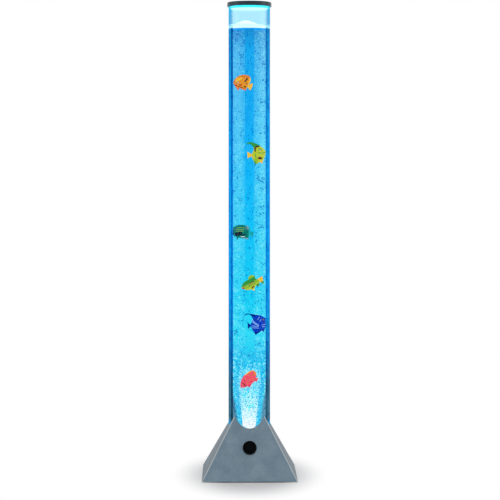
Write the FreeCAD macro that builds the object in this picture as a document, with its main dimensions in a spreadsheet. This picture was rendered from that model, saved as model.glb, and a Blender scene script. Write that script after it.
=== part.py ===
import FreeCAD, Part

# Bubble tube floor lamp: a clear water column on a moulded pyramid base.
# Millimetres. The origin is on the floor, under the middle of the base. +Z is up and the button faces -Y.

import math
import os
import re

import Sketcher
from FreeCAD import Placement, Rotation, Vector

document = FreeCAD.newDocument("BubbleTubeLamp")

# -------------------------------------------------------- driving dimensions

SIZES = [
    # moulded base
    ("base_width", 230, "side of the square base at its lower edge"),
    ("arch_height", 119.3, "height at which the middle of each face meets the tube"),
    ("base_lift", 2, "air gap between the floor and the housing's edge"),
    ("housing_wall", 3, "wall of the moulded housing, square to the face"),
    ("edge_round", 2, "rounding of the four sloping edges"),
    ("tip_share", 0.6, "half width of the pyramid's cut top, as a share of the tube hole's radius"),
    ("collar_wall", 3, "wall of the collar that steadies the tube"),
    ("collar_low", 92, "height of the collar's lower end"),
    ("rib_wall", 2.4, "wall of the corner ribs"),
    ("rib_low", 98, "height of the corner ribs' lower edge"),
    ("boss_width", 10, "diameter of the corner screw bosses"),
    ("corner_inset", 17, "corner screws, in from the base's side"),
    # floor plate and feet
    ("plate_thick", 3, "floor plate"),
    ("plate_gap", 0.4, "floor plate to housing, all round"),
    ("foot_width", 18, "rubber foot"),
    ("foot_height", 3, "rubber foot below the floor plate"),
    ("foot_inset", 32, "feet, in from the base's side"),
    ("stem_width", 6, "stem of a rubber foot"),
    ("vent_width", 7, "air hole in the floor plate"),
    ("vent_ring", 20, "radius of the ring of air holes"),
    ("vent_count", 6, "air holes in the floor plate"),
    # screws and fits
    ("screw_width", 2.9, "thread of the self-tapping screws"),
    ("head_width", 5.6, "screw head"),
    ("head_height", 1.8, "screw head"),
    ("screw_bite", 10, "thread in a boss or leg"),
    ("fit_gap", 0.05, "between a thread or stem and its own hole"),
    ("pass_gap", 0.25, "between a screw and the hole that it passes"),
    # tube
    ("tube_outer", 102, "outer diameter of the clear tube"),
    ("tube_wall", 3, "wall of the clear tube"),
    ("tube_length", 1090, "clear tube"),
    ("tube_gap", 0.5, "tube to collar, and tube to cap"),
    ("floor_thick", 6, "clear disc that closes the tube"),
    ("cushion_thick", 2, "rubber ring under the tube's floor"),
    ("cushion_band", 7, "width of that ring"),
    # cradle that carries the tube
    ("cradle_height", 48, "legs of the cradle"),
    ("cradle_thick", 4, "ring of the cradle"),
    ("cradle_wall", 3, "rim of the cradle"),
    ("cradle_rim", 12, "height of the rim above the ring"),
    ("cradle_gap", 0.3, "tube to rim"),
    ("light_width", 62, "opening that the light passes"),
    ("leg_width", 11, "leg of the cradle"),
    ("leg_ring", 46, "radius of the ring of legs"),
    # cap
    ("cap_seat", 0.3, "running gap between the cap and the tube's end"),
    ("cap_thick", 2.7, "top of the cap"),
    ("cap_wall", 3, "skirt of the cap"),
    ("cap_depth", 8.3, "skirt below the cap's top"),
    ("cap_round", 1.5, "rounding of the cap's edge"),
    ("liner_thick", 1.5, "pale liner under the cap"),
    ("liner_wall", 2, "locating ring of the liner"),
    ("liner_depth", 13.3, "locating ring below the cap's top"),
    ("liner_gap", 0.5, "locating ring to bore"),
    # air nozzle
    ("nozzle_width", 30, "head of the air nozzle"),
    ("nozzle_height", 8, "head of the air nozzle"),
    ("nozzle_bevel", 3, "bevel of the nozzle's head"),
    ("chamber_width", 16, "air chamber in the nozzle's head"),
    ("chamber_height", 3, "air chamber in the nozzle's head"),
    ("jet_width", 1.6, "air hole in the nozzle's head"),
    ("jet_ring", 5, "radius of the ring of air holes"),
    ("jet_count", 8, "air holes in the nozzle's head"),
    ("nozzle_stem", 8, "threaded stem of the nozzle"),
    ("nozzle_drop", 12, "stem below the tube's floor"),
    ("seal_width", 18, "washer under the nozzle's head"),
    ("seal_thick", 1.5, "washer under the nozzle's head"),
    ("nut_flats", 14, "nut on the nozzle's stem, across its flats"),
    ("nut_thick", 5, "nut on the nozzle's stem"),
    # air line
    ("hose_outer", 6, "air hose"),
    ("hose_bore", 4, "air hose"),
    ("hose_bend", 22, "bend of the air hose"),
    ("hose_level", 18, "height of the level stretch of hose"),
    ("barb_length", 5, "barb in a hose"),
    ("barb_gap", 0.1, "barb to hose"),
    ("air_bore", 2.4, "air passage in a barb"),
    ("valve_width", 13, "non-return valve"),
    ("valve_length", 14, "non-return valve"),
    ("valve_place", 30, "near end of the valve, from the tube's axis"),
    ("valve_band", 4, "raised band round the valve"),
    ("valve_step", 1.5, "rise of that band"),
    # air pump
    ("pump_place", 69, "pump's middle, from the tube's axis"),
    ("head_side", 27, "square diaphragm head of the pump"),
    ("head_depth", 22, "diaphragm head, front to back"),
    ("pump_lift", 4.5, "rubber pad under the pump"),
    ("motor_width", 24, "pump motor"),
    ("motor_length", 34, "pump motor"),
    ("strap_wall", 1.6, "strap over the motor"),
    ("strap_width", 12, "strap over the motor"),
    ("strap_gap", 0.2, "strap to motor"),
    ("strap_foot", 9, "each foot of the strap"),
    ("strap_place", 17, "strap's middle, from the pump head"),
    # light ring
    ("led_side", 5, "lamp on the light ring"),
    ("led_thick", 1.6, "lamp on the light ring"),
    ("led_ring", 24, "radius of the ring of lamps"),
    ("led_hole", 18, "hole in the light ring"),
    ("led_count", 12, "lamps on the light ring"),
    ("light_gap", 0.5, "light ring to the cradle's legs"),
    ("board_thick", 1.6, "all printed boards"),
    ("spacer_height", 6, "spacers over the light ring"),
    ("spacer_width", 6, "spacers over the light ring"),
    ("spacer_ring", 36, "radius of the ring of spacers"),
    # control board and power inlet
    ("board_length", 64, "control board"),
    ("board_width", 36, "control board"),
    ("board_edge", 13, "control board, in from the floor plate's rear edge"),
    ("board_lift", 5, "spacers under the control board"),
    ("board_inset", 4, "control board's screws, in from its edge"),
    ("jack_height", 34, "height of the power inlet on the rear face"),
    ("jack_width", 11, "threaded body of the power inlet"),
    ("jack_depth", 14, "body of the power inlet behind the face"),
    ("jack_flange", 16, "flange of the power inlet"),
    ("jack_rim", 2, "thickness of that flange"),
    ("jack_bore", 6.2, "opening for the plug"),
    ("jack_reach", 9.5, "depth of that opening"),
    ("jack_pin", 2, "centre pin of the power inlet"),
    ("jack_nut", 3, "nut of the power inlet"),
    # push button
    ("button_height", 76, "height of the button on the front face"),
    ("button_width", 20.8, "moving plunger"),
    ("button_proud", 8, "plunger above the face"),
    ("button_gap", 0.2, "plunger to bezel"),
    ("press_travel", 2, "travel of the plunger"),
    ("stop_gap", 0.3, "running gap at the plunger's rim"),
    ("bezel_outer", 33.6, "flange of the bezel"),
    ("bezel_proud", 5, "flange above the face"),
    ("bezel_barrel", 26, "barrel of the bezel"),
    ("bezel_depth", 5.5, "barrel behind the face"),
    ("bezel_bevel", 1.6, "bevel of the bezel's outer edge"),
    ("ring_nut", 34, "ring nut behind the face"),
    ("rim_width", 24.4, "retaining rim of the plunger"),
    ("rim_thick", 1.5, "retaining rim of the plunger"),
    ("pusher_width", 4, "pin that works the switch"),
    ("pusher_length", 3.3, "pin that works the switch"),
    ("switch_side", 12, "switch block"),
    ("switch_thick", 3.7, "switch block"),
    ("switch_bore", 4.4, "guide of the pusher in the switch"),
    ("switch_long", 52, "switch board"),
    ("switch_wide", 16, "switch board"),
    ("switch_post", 22, "posts of the switch board, from its middle"),
    ("post_width", 6, "posts of the switch board"),
    ("small_screw", 2, "thread of the switch board's screws"),
    ("small_head", 3.8, "head of the switch board's screws"),
    # fish
    ("fin_thick", 1.6, "fins and tails of the fish"),
]

# Each fish: nose to tail root, back and belly from that line, thickness, middle of the line, turn and
# nose-up angle.
FISH_WORDS = ("length", "back", "belly", "thick", "across", "depth", "height", "turn", "pitch")
FISH = {
    "orange_fish": (35, 22, 10, 9, -20.2, -26, 956, 163.4, 12),
    "yellow_fish": (35, 20, 17, 8, 21.5, -24.5, 787, 14.9, 12.7),
    "teal_fish": (44, 20, 12, 9, -22.8, -19, 592.5, 161.3, 1.2),
    "green_fish": (40, 12, 12, 10, -0.4, -30, 468, 183.3, -29),
    "blue_fish": (43.5, 21, 18, 8, 23, -20, 373.5, 19.3, 15.1),
    "pink_fish": (40, 18, 6, 9, -3.1, -35, 227, 180, -30.8),
}

# Fin and tail outlines in shares of the fish's length, nose at +0.5 and tail root at -0.5, from the nose
# over the back to the belly. A point with a third item is the middle of an arc between its two neighbours.
FIN_OUTLINES = {
    "orange_fish": [
        (0.5, 0), (0.1, 0.64, "arc"), (-0.45, 0.7), (-0.6, 0.46, "arc"), (-0.48, 0.07), (-0.79, 0.25),
        (-0.8, -0.02, "arc"), (-0.72, -0.28), (-0.5, -0.08), (-0.43, -0.36), (0, -0.26), (0.04, -0.46),
        (0.28, -0.21),
    ],
    "yellow_fish": [
        (0.5, 0), (0.3, 0.35, "arc"), (-0.27, 0.88), (-0.52, 0.92, "arc"), (-0.72, 0.81),
        (-0.46, 0.81), (-0.31, 0.6, "arc"), (-0.27, 0.39), (-0.49, 0.07), (-0.73, 0.32),
        (-0.81, -0.15), (-0.53, -0.06), (-0.5, -0.28), (-0.43, -0.69), (-0.07, -0.58), (0.01, -0.73),
        (0.15, -0.51),
    ],
    "teal_fish": [
        (0.5, 0), (0.2, 0.38, "arc"), (-0.31, 0.45), (-0.56, 0.3, "arc"), (-0.5, 0.05), (-0.65, 0.16),
        (-0.75, -0.05, "arc"), (-0.69, -0.17), (-0.51, -0.05), (-0.53, -0.24, "arc"), (-0.43, -0.33),
        (0, -0.24), (0.05, -0.39), (0.13, -0.19),
    ],
    "green_fish": [
        (0.5, 0), (0.18, 0.26, "arc"), (-0.1, 0.27), (-0.28, 0.46, "arc"), (-0.51, 0.29),
        (-0.46, 0.15), (-0.54, 0.06), (-0.88, 0.1), (-0.82, -0.14, "arc"), (-0.76, -0.42),
        (-0.57, -0.13), (-0.42, -0.38), (-0.28, -0.23), (-0.12, -0.36), (-0.07, -0.5), (0.03, -0.34),
        (0.3, -0.23),
    ],
    "blue_fish": [
        (0.5, 0), (0.14, 0.39), (-0.46, 0.69), (-0.6, 0.7, "arc"), (-0.74, 0.64), (-0.47, 0.65),
        (-0.34, 0.5, "arc"), (-0.31, 0.33), (-0.5, 0.04), (-0.63, 0.21), (-0.7, -0.15), (-0.51, -0.04),
        (-0.49, -0.26), (-0.41, -0.59), (-0.04, -0.44), (0.03, -0.56), (0.12, -0.44),
    ],
    "pink_fish": [
        (0.5, 0), (0.18, 0.41, "arc"), (-0.33, 0.58), (-0.64, 0.54, "arc"), (-0.58, 0.12),
        (-0.54, 0.07), (-0.7, 0), (-0.47, -0.16), (-0.41, -0.08), (-0.17, -0.12), (0.04, -0.26),
        (0.1, -0.14), (0.33, -0.1),
    ],
}

sheet = document.addObject("Spreadsheet::Sheet", "Sizes")
rows = list(SIZES)
for fish_name, fish_values in FISH.items():
    rows += [(f"{fish_name}_{word}", value, fish_name) for word, value in zip(FISH_WORDS, fish_values)]
for row, (alias, value, meaning) in enumerate(rows, start=1):
    sheet.set(f"A{row}", meaning)
    sheet.set(f"B{row}", str(value))
    sheet.setAlias(f"B{row}", alias)
document.recompute()

# -------------------------------------------------------- derived dimensions, as formulas of the sheet

BASE_HALF = "base_width / 2"
TUBE_RADIUS = "tube_outer / 2"
BORE_RADIUS = f"({TUBE_RADIUS} - tube_wall)"
HOLE_RADIUS = f"({TUBE_RADIUS} + tube_gap)"
COLLAR_RADIUS = f"({HOLE_RADIUS} + collar_wall)"
# Each face leans from the base's edge in to the tube hole: LEAN is run over rise, and FACE_LEAN the angle.
LEAN = f"(({BASE_HALF} - {HOLE_RADIUS}) / (arch_height - base_lift))"
FACE_LEAN = f"atan({LEAN})"
SLANT = f"cos({FACE_LEAN})"
INNER_HALF = f"({BASE_HALF} - housing_wall / {SLANT})"
# The pyramid runs on until its corners are well inside the tube hole, which cuts off its tip in four arches.
PYRAMID_HEIGHT = f"(({BASE_HALF} - {HOLE_RADIUS} * tip_share) / {LEAN})"
CAVITY_HEIGHT = f"(({INNER_HALF} - {HOLE_RADIUS} * tip_share) / {LEAN})"

PLATE_TOP = "(foot_height + plate_thick)"
PLATE_HALF = f"({INNER_HALF} - ({PLATE_TOP} - base_lift) * {LEAN} - plate_gap)"
CORNER = f"({BASE_HALF} - corner_inset)"
FOOT_PLACE = f"({BASE_HALF} - foot_inset)"
LEG_PLACE = "(leg_ring * cos(45deg))"

CRADLE_LOW = f"({PLATE_TOP} + cradle_height)"
CRADLE_TOP = f"({CRADLE_LOW} + cradle_thick)"
CRADLE_INNER = f"({TUBE_RADIUS} + cradle_gap)"
FLOOR_LOW = f"({CRADLE_TOP} + cushion_thick)"
TUBE_LOW = f"({FLOOR_LOW} + floor_thick)"
TUBE_TOP = f"({TUBE_LOW} + tube_length)"

CAP_LOW = f"({TUBE_TOP} + cap_seat)"
CAP_TOP = f"({CAP_LOW} + cap_thick)"
CAP_INNER = f"({TUBE_RADIUS} + tube_gap)"
LINER_RADIUS = f"({BORE_RADIUS} - liner_gap)"

NOZZLE_HEAD = f"({TUBE_LOW} + seal_thick)"
NOZZLE_TOP = f"({NOZZLE_HEAD} + nozzle_height)"
NOZZLE_END = f"({FLOOR_LOW} - nozzle_drop)"
STEM_HOLE = "(nozzle_stem / 2 + pass_gap)"
BARB_RADIUS = "(hose_bore / 2 - barb_gap)"

PUMP_LOW = f"({PLATE_TOP} + pump_lift)"
PUMP_AXIS = f"({PUMP_LOW} + head_side / 2)"
PUMP_FACE = "(pump_place - head_side / 2)"
STRAP_INNER = "(motor_width / 2 + strap_gap)"
STRAP_OUTER = f"({STRAP_INNER} + strap_wall)"
STRAP_Y = "(head_depth / 2 + strap_place)"
STRAP_SCREW = f"({STRAP_OUTER} + strap_foot / 2)"

LED_TOP = f"({CRADLE_LOW} - spacer_height)"
LED_LOW = f"({LED_TOP} - board_thick)"
LED_RADIUS = "(leg_ring - leg_width / 2 - light_gap)"
BOARD_LOW = f"({PLATE_TOP} + board_lift)"
BOARD_TOP = f"({BOARD_LOW} + board_thick)"
BOARD_PLACE = f"({PLATE_HALF} - board_edge - board_width / 2)"
BOARD_X = "(board_length / 2 - board_inset)"
BOARD_Y = "(board_width / 2 - board_inset)"

FACE_Y = f"({BASE_HALF} - (button_height - base_lift) * {LEAN})"
REAR_Y = f"({BASE_HALF} - (jack_height - base_lift) * {LEAN})"
FRONT_TILT = f"90deg - {FACE_LEAN}"
REAR_TILT = f"{FACE_LEAN} - 90deg"
RIM_TOP = "(bezel_depth + stop_gap)"
RIM_LOW = f"({RIM_TOP} + rim_thick)"
PUSHER_END = f"({RIM_LOW} + pusher_length)"
SWITCH_TOP = f"({PUSHER_END} - stop_gap)"
SWITCH_LOW = f"({SWITCH_TOP} + switch_thick)"

THREAD = "(screw_width / 2)"
PILOT = "(screw_width / 2 + fit_gap)"
PASSAGE = "(screw_width / 2 + pass_gap)"
FOUR_CORNERS = [(-1, -1), (1, -1), (1, 1), (-1, 1)]


# -------------------------------------------------------- shared ways of working

def formula(text):
    """Turns plain sheet words in a formula into references to the sheet."""
    return re.sub(r"[a-z]+(?:_[a-z]+)+", lambda word: f"Sizes.{word.group(0)}", str(text))


def number(text):
    """The present value of a formula."""
    return float(sheet.evalExpression(formula(text)))


def bind(item, key, text):
    item.setExpression(key, formula(text))


def new_body(label, at=("0", "0", "0"), tilt=None):
    """A body of its own, placed by formulas; tilt is its turn about X."""
    body = document.addObject("PartDesign::Body", label)
    body.Label = label
    if tilt is not None:
        body.Placement = Placement(Vector(), Rotation(Vector(1, 0, 0), 60))
        bind(body, "Placement.Rotation.Angle", tilt)
    for key, text in zip("xyz", at):
        if text != "0":
            bind(body, f"Placement.Base.{key}", text)
    return body


def origin_feature(body, role):
    return next(item for item in body.Origin.OriginFeatures if item.Role == role)


def new_sketch(body, level="0", role="XY_Plane"):
    """A sketch on an origin plane, lifted along the plane's normal by a formula."""
    sketch = body.newObject("Sketcher::SketchObject", f"{body.Label}_sketch")
    sketch.AttachmentSupport = [(origin_feature(body, role), "")]
    sketch.MapMode = "FlatFace"
    if level != "0":
        bind(sketch, "AttachmentOffset.Base.z", level)
    return sketch


def tilt_sketch(sketch, angle, across, up):
    """Lays a sketch on a leaning face: turned about X, through a point given by formulas."""
    sketch.AttachmentOffset = Placement(Vector(), Rotation(Vector(1, 0, 0), 60))
    bind(sketch, "AttachmentOffset.Rotation.Angle", angle)
    bind(sketch, "AttachmentOffset.Base.y", across)
    bind(sketch, "AttachmentOffset.Base.z", up)


def fix_point(sketch, item, end, across, up):
    """Holds a point of the sketch at two formulas; a plain 0 puts it on the axis."""
    for kind, axis, text in (("DistanceX", -2, across), ("DistanceY", -1, up)):
        if text == "0":
            sketch.addConstraint(Sketcher.Constraint("PointOnObject", item, end, axis))
            continue
        place = sketch.addConstraint(Sketcher.Constraint(kind, -1, 1, item, end, number(text)))
        bind(sketch, f"Constraints[{place}]", text)


def add_circle(sketch, radius, across="0", up="0"):
    middle = Vector(number(across), number(up), 0)
    circle = sketch.addGeometry(Part.Circle(middle, Vector(0, 0, 1), number(radius)))
    fix_point(sketch, circle, 3, across, up)
    place = sketch.addConstraint(Sketcher.Constraint("Radius", circle, number(radius)))
    bind(sketch, f"Constraints[{place}]", radius)


def add_polygon(sketch, points):
    """A closed outline of straight lines through points given as pairs of formulas."""
    places = [Vector(number(across), number(up), 0) for across, up in points]
    lines = []
    for start, end in zip(places, places[1:] + places[:1]):
        lines.append(sketch.addGeometry(Part.LineSegment(start, end)))
    for line, following in zip(lines, lines[1:] + lines[:1]):
        sketch.addConstraint(Sketcher.Constraint("Coincident", line, 2, following, 1))
    for line, (across, up) in zip(lines, points):
        fix_point(sketch, line, 1, across, up)


def add_rectangle(sketch, half_across, half_up, across="0", up="0"):
    corners = []
    for side, rise in FOUR_CORNERS:
        corners.append((f"{across} + {side} * ({half_across})", f"{up} + {rise} * ({half_up})"))
    add_polygon(sketch, corners)


def pad(body, sketch, length, lean=None, symmetric=False, down=False):
    feature = body.newObject("PartDesign::Pad", f"{body.Label}_pad")
    feature.Profile = sketch
    bind(feature, "Length", length)
    if lean is not None:
        bind(feature, "TaperAngle", lean)
    if symmetric:
        feature.SideType = "Symmetric"
    feature.Reversed = down
    document.recompute()
    return feature


def cut(body, sketch, length, up=True):
    """A pocket, whose direction is proved by the volume that it takes away."""
    before = body.Shape.Volume
    feature = body.newObject("PartDesign::Pocket", f"{body.Label}_pocket")
    feature.Profile = sketch
    bind(feature, "Length", length)
    feature.Reversed = up
    document.recompute()
    if body.Shape.Volume >= before:
        raise RuntimeError(f"{body.Label}: a pocket cuts nothing")
    return feature


def spin(body, points):
    """A solid of revolution about the body's Z axis from an outline of (radius, height) formulas."""
    sketch = new_sketch(body, role="XZ_Plane")
    add_polygon(sketch, points)
    feature = body.newObject("PartDesign::Revolution", f"{body.Label}_turn")
    feature.Profile = sketch
    feature.ReferenceAxis = (sketch, ["V_Axis"])
    feature.Angle = 360
    document.recompute()
    return feature


def around(body, features, count):
    """Repeats features evenly about the body's Z axis; count is a formula."""
    pattern = body.newObject("PartDesign::PolarPattern", f"{body.Label}_ring")
    pattern.Originals = features
    pattern.Axis = (origin_feature(body, "Z_Axis"), [""])
    pattern.Angle = 360
    bind(pattern, "Occurrences", count)
    body.Tip = pattern
    document.recompute()


def disc(body, radius, low, thick, across="0", up="0"):
    sketch = new_sketch(body, low)
    add_circle(sketch, radius, across, up)
    return pad(body, sketch, thick)


def ring(label, outer, inner, low, thick, at=("0", "0", "0"), tilt=None):
    """A flat or long ring: two circles, padded upwards."""
    body = new_body(label, at, tilt)
    sketch = new_sketch(body, low)
    add_circle(sketch, outer)
    add_circle(sketch, inner)
    pad(body, sketch, thick)
    return body


def drill(body, radius, low, deep, places):
    """Round holes of one size, cut upwards from one level."""
    sketch = new_sketch(body, low)
    for across, up in places:
        add_circle(sketch, radius, across, up)
    cut(body, sketch, deep)


def four(across, up):
    """Four places, mirrored about both axes."""
    return [(f"{side} * {across}", f"{rise} * {up}") for side, rise in FOUR_CORNERS]


def screws(label, places, head, tip, at=("0", "0", "0"), tilt=None, thread=THREAD, cap="head_width / 2"):
    """Screws along Z at several places, from the level under the head to the tip of the thread."""
    body = new_body(label, at, tilt)
    points_up = number(tip) > number(head)
    shank = new_sketch(body, head)
    crown = new_sketch(body, head)
    for across, up in places:
        add_circle(shank, thread, across, up)
        add_circle(crown, cap, across, up)
    length = f"{tip} - {head}" if points_up else f"{head} - {tip}"
    pad(body, shank, length, down=not points_up)
    pad(body, crown, "head_height", down=points_up)
    return body


# -------------------------------------------------------- base housing

# The outside is one tapered block. The collar, corner bosses and ribs are what its cavity leaves standing.
block = new_body("housing_block")
outline = new_sketch(block, "base_lift")
add_rectangle(outline, BASE_HALF, BASE_HALF)
pyramid = pad(block, outline, PYRAMID_HEIGHT, lean=f"-{FACE_LEAN}")
sloping = []
for place, edge in enumerate(pyramid.Shape.Edges, start=1):
    rise = abs(edge.Vertexes[0].Point.z - edge.Vertexes[-1].Point.z)
    if rise > number(PYRAMID_HEIGHT) / 2:
        sloping.append(f"Edge{place}")
rounding = block.newObject("PartDesign::Fillet", "housing_rounding")
rounding.Base = (pyramid, sloping)
bind(rounding, "Radius", "edge_round")
document.recompute()
drill(block, HOLE_RADIUS, "base_lift", PYRAMID_HEIGHT, [("0", "0")])
drill(block, PILOT, PLATE_TOP, "screw_bite + plate_thick", four(CORNER, CORNER))
button_hole = new_sketch(block)
tilt_sketch(button_hole, FRONT_TILT, f"-{FACE_Y}", "button_height")
add_circle(button_hole, "bezel_barrel / 2 + pass_gap")
cut(block, button_hole, "housing_wall * 2", up=False)
jack_hole = new_sketch(block)
tilt_sketch(jack_hole, REAR_TILT, REAR_Y, "jack_height")
add_circle(jack_hole, "jack_width / 2 + pass_gap")
cut(block, jack_hole, "housing_wall * 2", up=False)

cavity = new_body("housing_cavity")
inside = new_sketch(cavity, "base_lift")
add_rectangle(inside, INNER_HALF, INNER_HALF)
pad(cavity, inside, CAVITY_HEIGHT, lean=f"-{FACE_LEAN}")
drill(cavity, COLLAR_RADIUS, "collar_low", CAVITY_HEIGHT, [("0", "0")])
drill(cavity, "boss_width / 2", PLATE_TOP, CAVITY_HEIGHT, four(CORNER, CORNER))
for turn in (45, 135):
    rib = new_sketch(cavity)
    rib.AttachmentOffset = Placement(Vector(), Rotation(Vector(0, 0, 1), turn))
    bind(rib, "AttachmentOffset.Base.z", "rib_low")
    add_rectangle(rib, "base_width", "rib_wall / 2")
    cut(cavity, rib, CAVITY_HEIGHT)

shell = document.addObject("Part::Cut", "housing_shell")
shell.Base = block
shell.Tool = cavity

# Two posts behind the button carry its switch board.
AT_BUTTON = ("0", f"-{FACE_Y}", "button_height")
posts = new_body("switch_posts", AT_BUTTON, FRONT_TILT)
post_sketch = new_sketch(posts, "-housing_wall / 2")
AT_POSTS = [("switch_post", "0"), ("-switch_post", "0")]
for across, up in AT_POSTS:
    add_circle(post_sketch, "post_width / 2", across, up)
pad(posts, post_sketch, f"{SWITCH_LOW} - housing_wall / 2", down=True)
drill(posts, "small_screw / 2 + fit_gap", f"-{SWITCH_LOW}", "screw_bite / 2", AT_POSTS)

housing = document.addObject("Part::MultiFuse", "base_housing")
housing.Label = "base_housing"
housing.Shapes = [shell, posts]
document.recompute()

# -------------------------------------------------------- floor plate, feet and their screws

plate = new_body("base_plate")
plate_sketch = new_sketch(plate, "foot_height")
add_rectangle(plate_sketch, PLATE_HALF, PLATE_HALF)
pad(plate, plate_sketch, "plate_thick")
AT_STRAP = [(f"pump_place + {side} * {STRAP_SCREW}", STRAP_Y) for side in (-1, 1)]
AT_BOARD = [(f"{side} * {BOARD_X}", f"{BOARD_PLACE} + {rise} * {BOARD_Y}") for side, rise in FOUR_CORNERS]
drill(plate, PASSAGE, "foot_height", "plate_thick", four(CORNER, CORNER) + four(LEG_PLACE, LEG_PLACE))
drill(plate, PILOT, "foot_height", "plate_thick", AT_STRAP + AT_BOARD)
drill(plate, "stem_width / 2 + fit_gap", "foot_height", "plate_thick", four(FOOT_PLACE, FOOT_PLACE))
vent_sketch = new_sketch(plate, "foot_height")
add_circle(vent_sketch, "vent_width / 2", "vent_ring")
around(plate, [cut(plate, vent_sketch, "plate_thick")], "vent_count")

feet = new_body("rubber_feet")
foot_pads = [disc(feet, "foot_width / 2", "0", "foot_height", FOOT_PLACE, FOOT_PLACE)]
foot_pads.append(disc(feet, "stem_width / 2", "foot_height", "plate_thick", FOOT_PLACE, FOOT_PLACE))
around(feet, foot_pads, "4")

screws("plate_screws", four(CORNER, CORNER), "foot_height", f"{PLATE_TOP} + screw_bite")
screws("cradle_screws", four(LEG_PLACE, LEG_PLACE), "foot_height", f"{PLATE_TOP} + screw_bite")

# -------------------------------------------------------- cradle, tube and its floor

cradle = ring("tube_cradle", f"{CRADLE_INNER} + cradle_wall", "light_width / 2", CRADLE_LOW, "cradle_thick")
rim_sketch = new_sketch(cradle, CRADLE_TOP)
add_circle(rim_sketch, f"{CRADLE_INNER} + cradle_wall")
add_circle(rim_sketch, CRADLE_INNER)
pad(cradle, rim_sketch, "cradle_rim")
leg_sketch = new_sketch(cradle, PLATE_TOP)
for across, up in four(LEG_PLACE, LEG_PLACE):
    add_circle(leg_sketch, "leg_width / 2", across, up)
pad(cradle, leg_sketch, "cradle_height")
drill(cradle, PILOT, PLATE_TOP, "screw_bite + plate_thick", four(LEG_PLACE, LEG_PLACE))
AT_SPACERS = [("spacer_ring", "0"), ("-spacer_ring", "0"), ("0", "spacer_ring"), ("0", "-spacer_ring")]
drill(cradle, PILOT, CRADLE_LOW, "cradle_thick", AT_SPACERS)

ring("tube_cushion", TUBE_RADIUS, f"{TUBE_RADIUS} - cushion_band", CRADLE_TOP, "cushion_thick")
ring("tube_floor", TUBE_RADIUS, STEM_HOLE, FLOOR_LOW, "floor_thick")
ring("clear_tube", TUBE_RADIUS, BORE_RADIUS, TUBE_LOW, "tube_length")

# -------------------------------------------------------- cap

cap = new_body("cap_shell")
turned_cap = spin(cap, [
    ("0", CAP_LOW), (CAP_INNER, CAP_LOW), (CAP_INNER, f"{CAP_LOW} - cap_depth"),
    (f"{CAP_INNER} + cap_wall", f"{CAP_LOW} - cap_depth"), (f"{CAP_INNER} + cap_wall", CAP_TOP),
    ("0", CAP_TOP),
])
top_edges = []
for place, edge in enumerate(turned_cap.Shape.Edges, start=1):
    box = edge.BoundBox
    on_top = max(abs(box.ZMin - number(CAP_TOP)), abs(box.ZMax - number(CAP_TOP))) < 1e-6
    if on_top and edge.BoundBox.XLength > number(TUBE_RADIUS):
        top_edges.append(f"Edge{place}")
soft_edge = cap.newObject("PartDesign::Fillet", "cap_rounding")
soft_edge.Base = (turned_cap, top_edges)
bind(soft_edge, "Radius", "cap_round")
document.recompute()

spin(new_body("cap_liner"), [
    ("0", f"{CAP_LOW} - liner_thick"), (f"{LINER_RADIUS} - liner_wall", f"{CAP_LOW} - liner_thick"),
    (f"{LINER_RADIUS} - liner_wall", f"{CAP_LOW} - liner_depth"), (LINER_RADIUS, f"{CAP_LOW} - liner_depth"),
    (LINER_RADIUS, CAP_LOW), ("0", CAP_LOW),
])

# -------------------------------------------------------- air nozzle

# The head stands in the water; its chamber feeds a ring of fine holes. The stem is nutted under the tube's
# floor.
nozzle = new_body("air_nozzle")
spin(nozzle, [
    ("air_bore / 2", f"{NOZZLE_END} - barb_length"), (BARB_RADIUS, f"{NOZZLE_END} - barb_length"),
    (BARB_RADIUS, NOZZLE_END), ("nozzle_stem / 2", NOZZLE_END), ("nozzle_stem / 2", NOZZLE_HEAD),
    ("nozzle_width / 2", NOZZLE_HEAD), ("nozzle_width / 2", f"{NOZZLE_TOP} - nozzle_bevel"),
    ("nozzle_width / 2 - nozzle_bevel", NOZZLE_TOP), ("0", NOZZLE_TOP),
    ("0", f"{NOZZLE_TOP} - chamber_height"),
    ("chamber_width / 2", f"{NOZZLE_TOP} - chamber_height"),
    ("chamber_width / 2", f"{NOZZLE_TOP} - chamber_height * 2"),
    ("air_bore / 2", f"{NOZZLE_TOP} - chamber_height * 2"),
])
jet_sketch = new_sketch(nozzle, f"{NOZZLE_TOP} - chamber_height")
add_circle(jet_sketch, "jet_width / 2", "jet_ring")
around(nozzle, [cut(nozzle, jet_sketch, "chamber_height")], "jet_count")

ring("nozzle_seal", "seal_width / 2", STEM_HOLE, TUBE_LOW, "seal_thick")

nut = new_body("nozzle_nut")
nut_sketch = new_sketch(nut, f"{FLOOR_LOW} - nut_thick")
NUT_CORNER = "(nut_flats / 2 / cos(30deg))"
hexagon = []
for step in range(6):
    corner_turn = f"({step * 60 + 30} * 1deg)"
    hexagon.append((f"{NUT_CORNER} * cos{corner_turn}", f"{NUT_CORNER} * sin{corner_turn}"))
add_polygon(nut_sketch, hexagon)
add_circle(nut_sketch, "nozzle_stem / 2 + fit_gap")
pad(nut, nut_sketch, "nut_thick")

# -------------------------------------------------------- air line: nozzle, hose, non-return valve, pump

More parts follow.
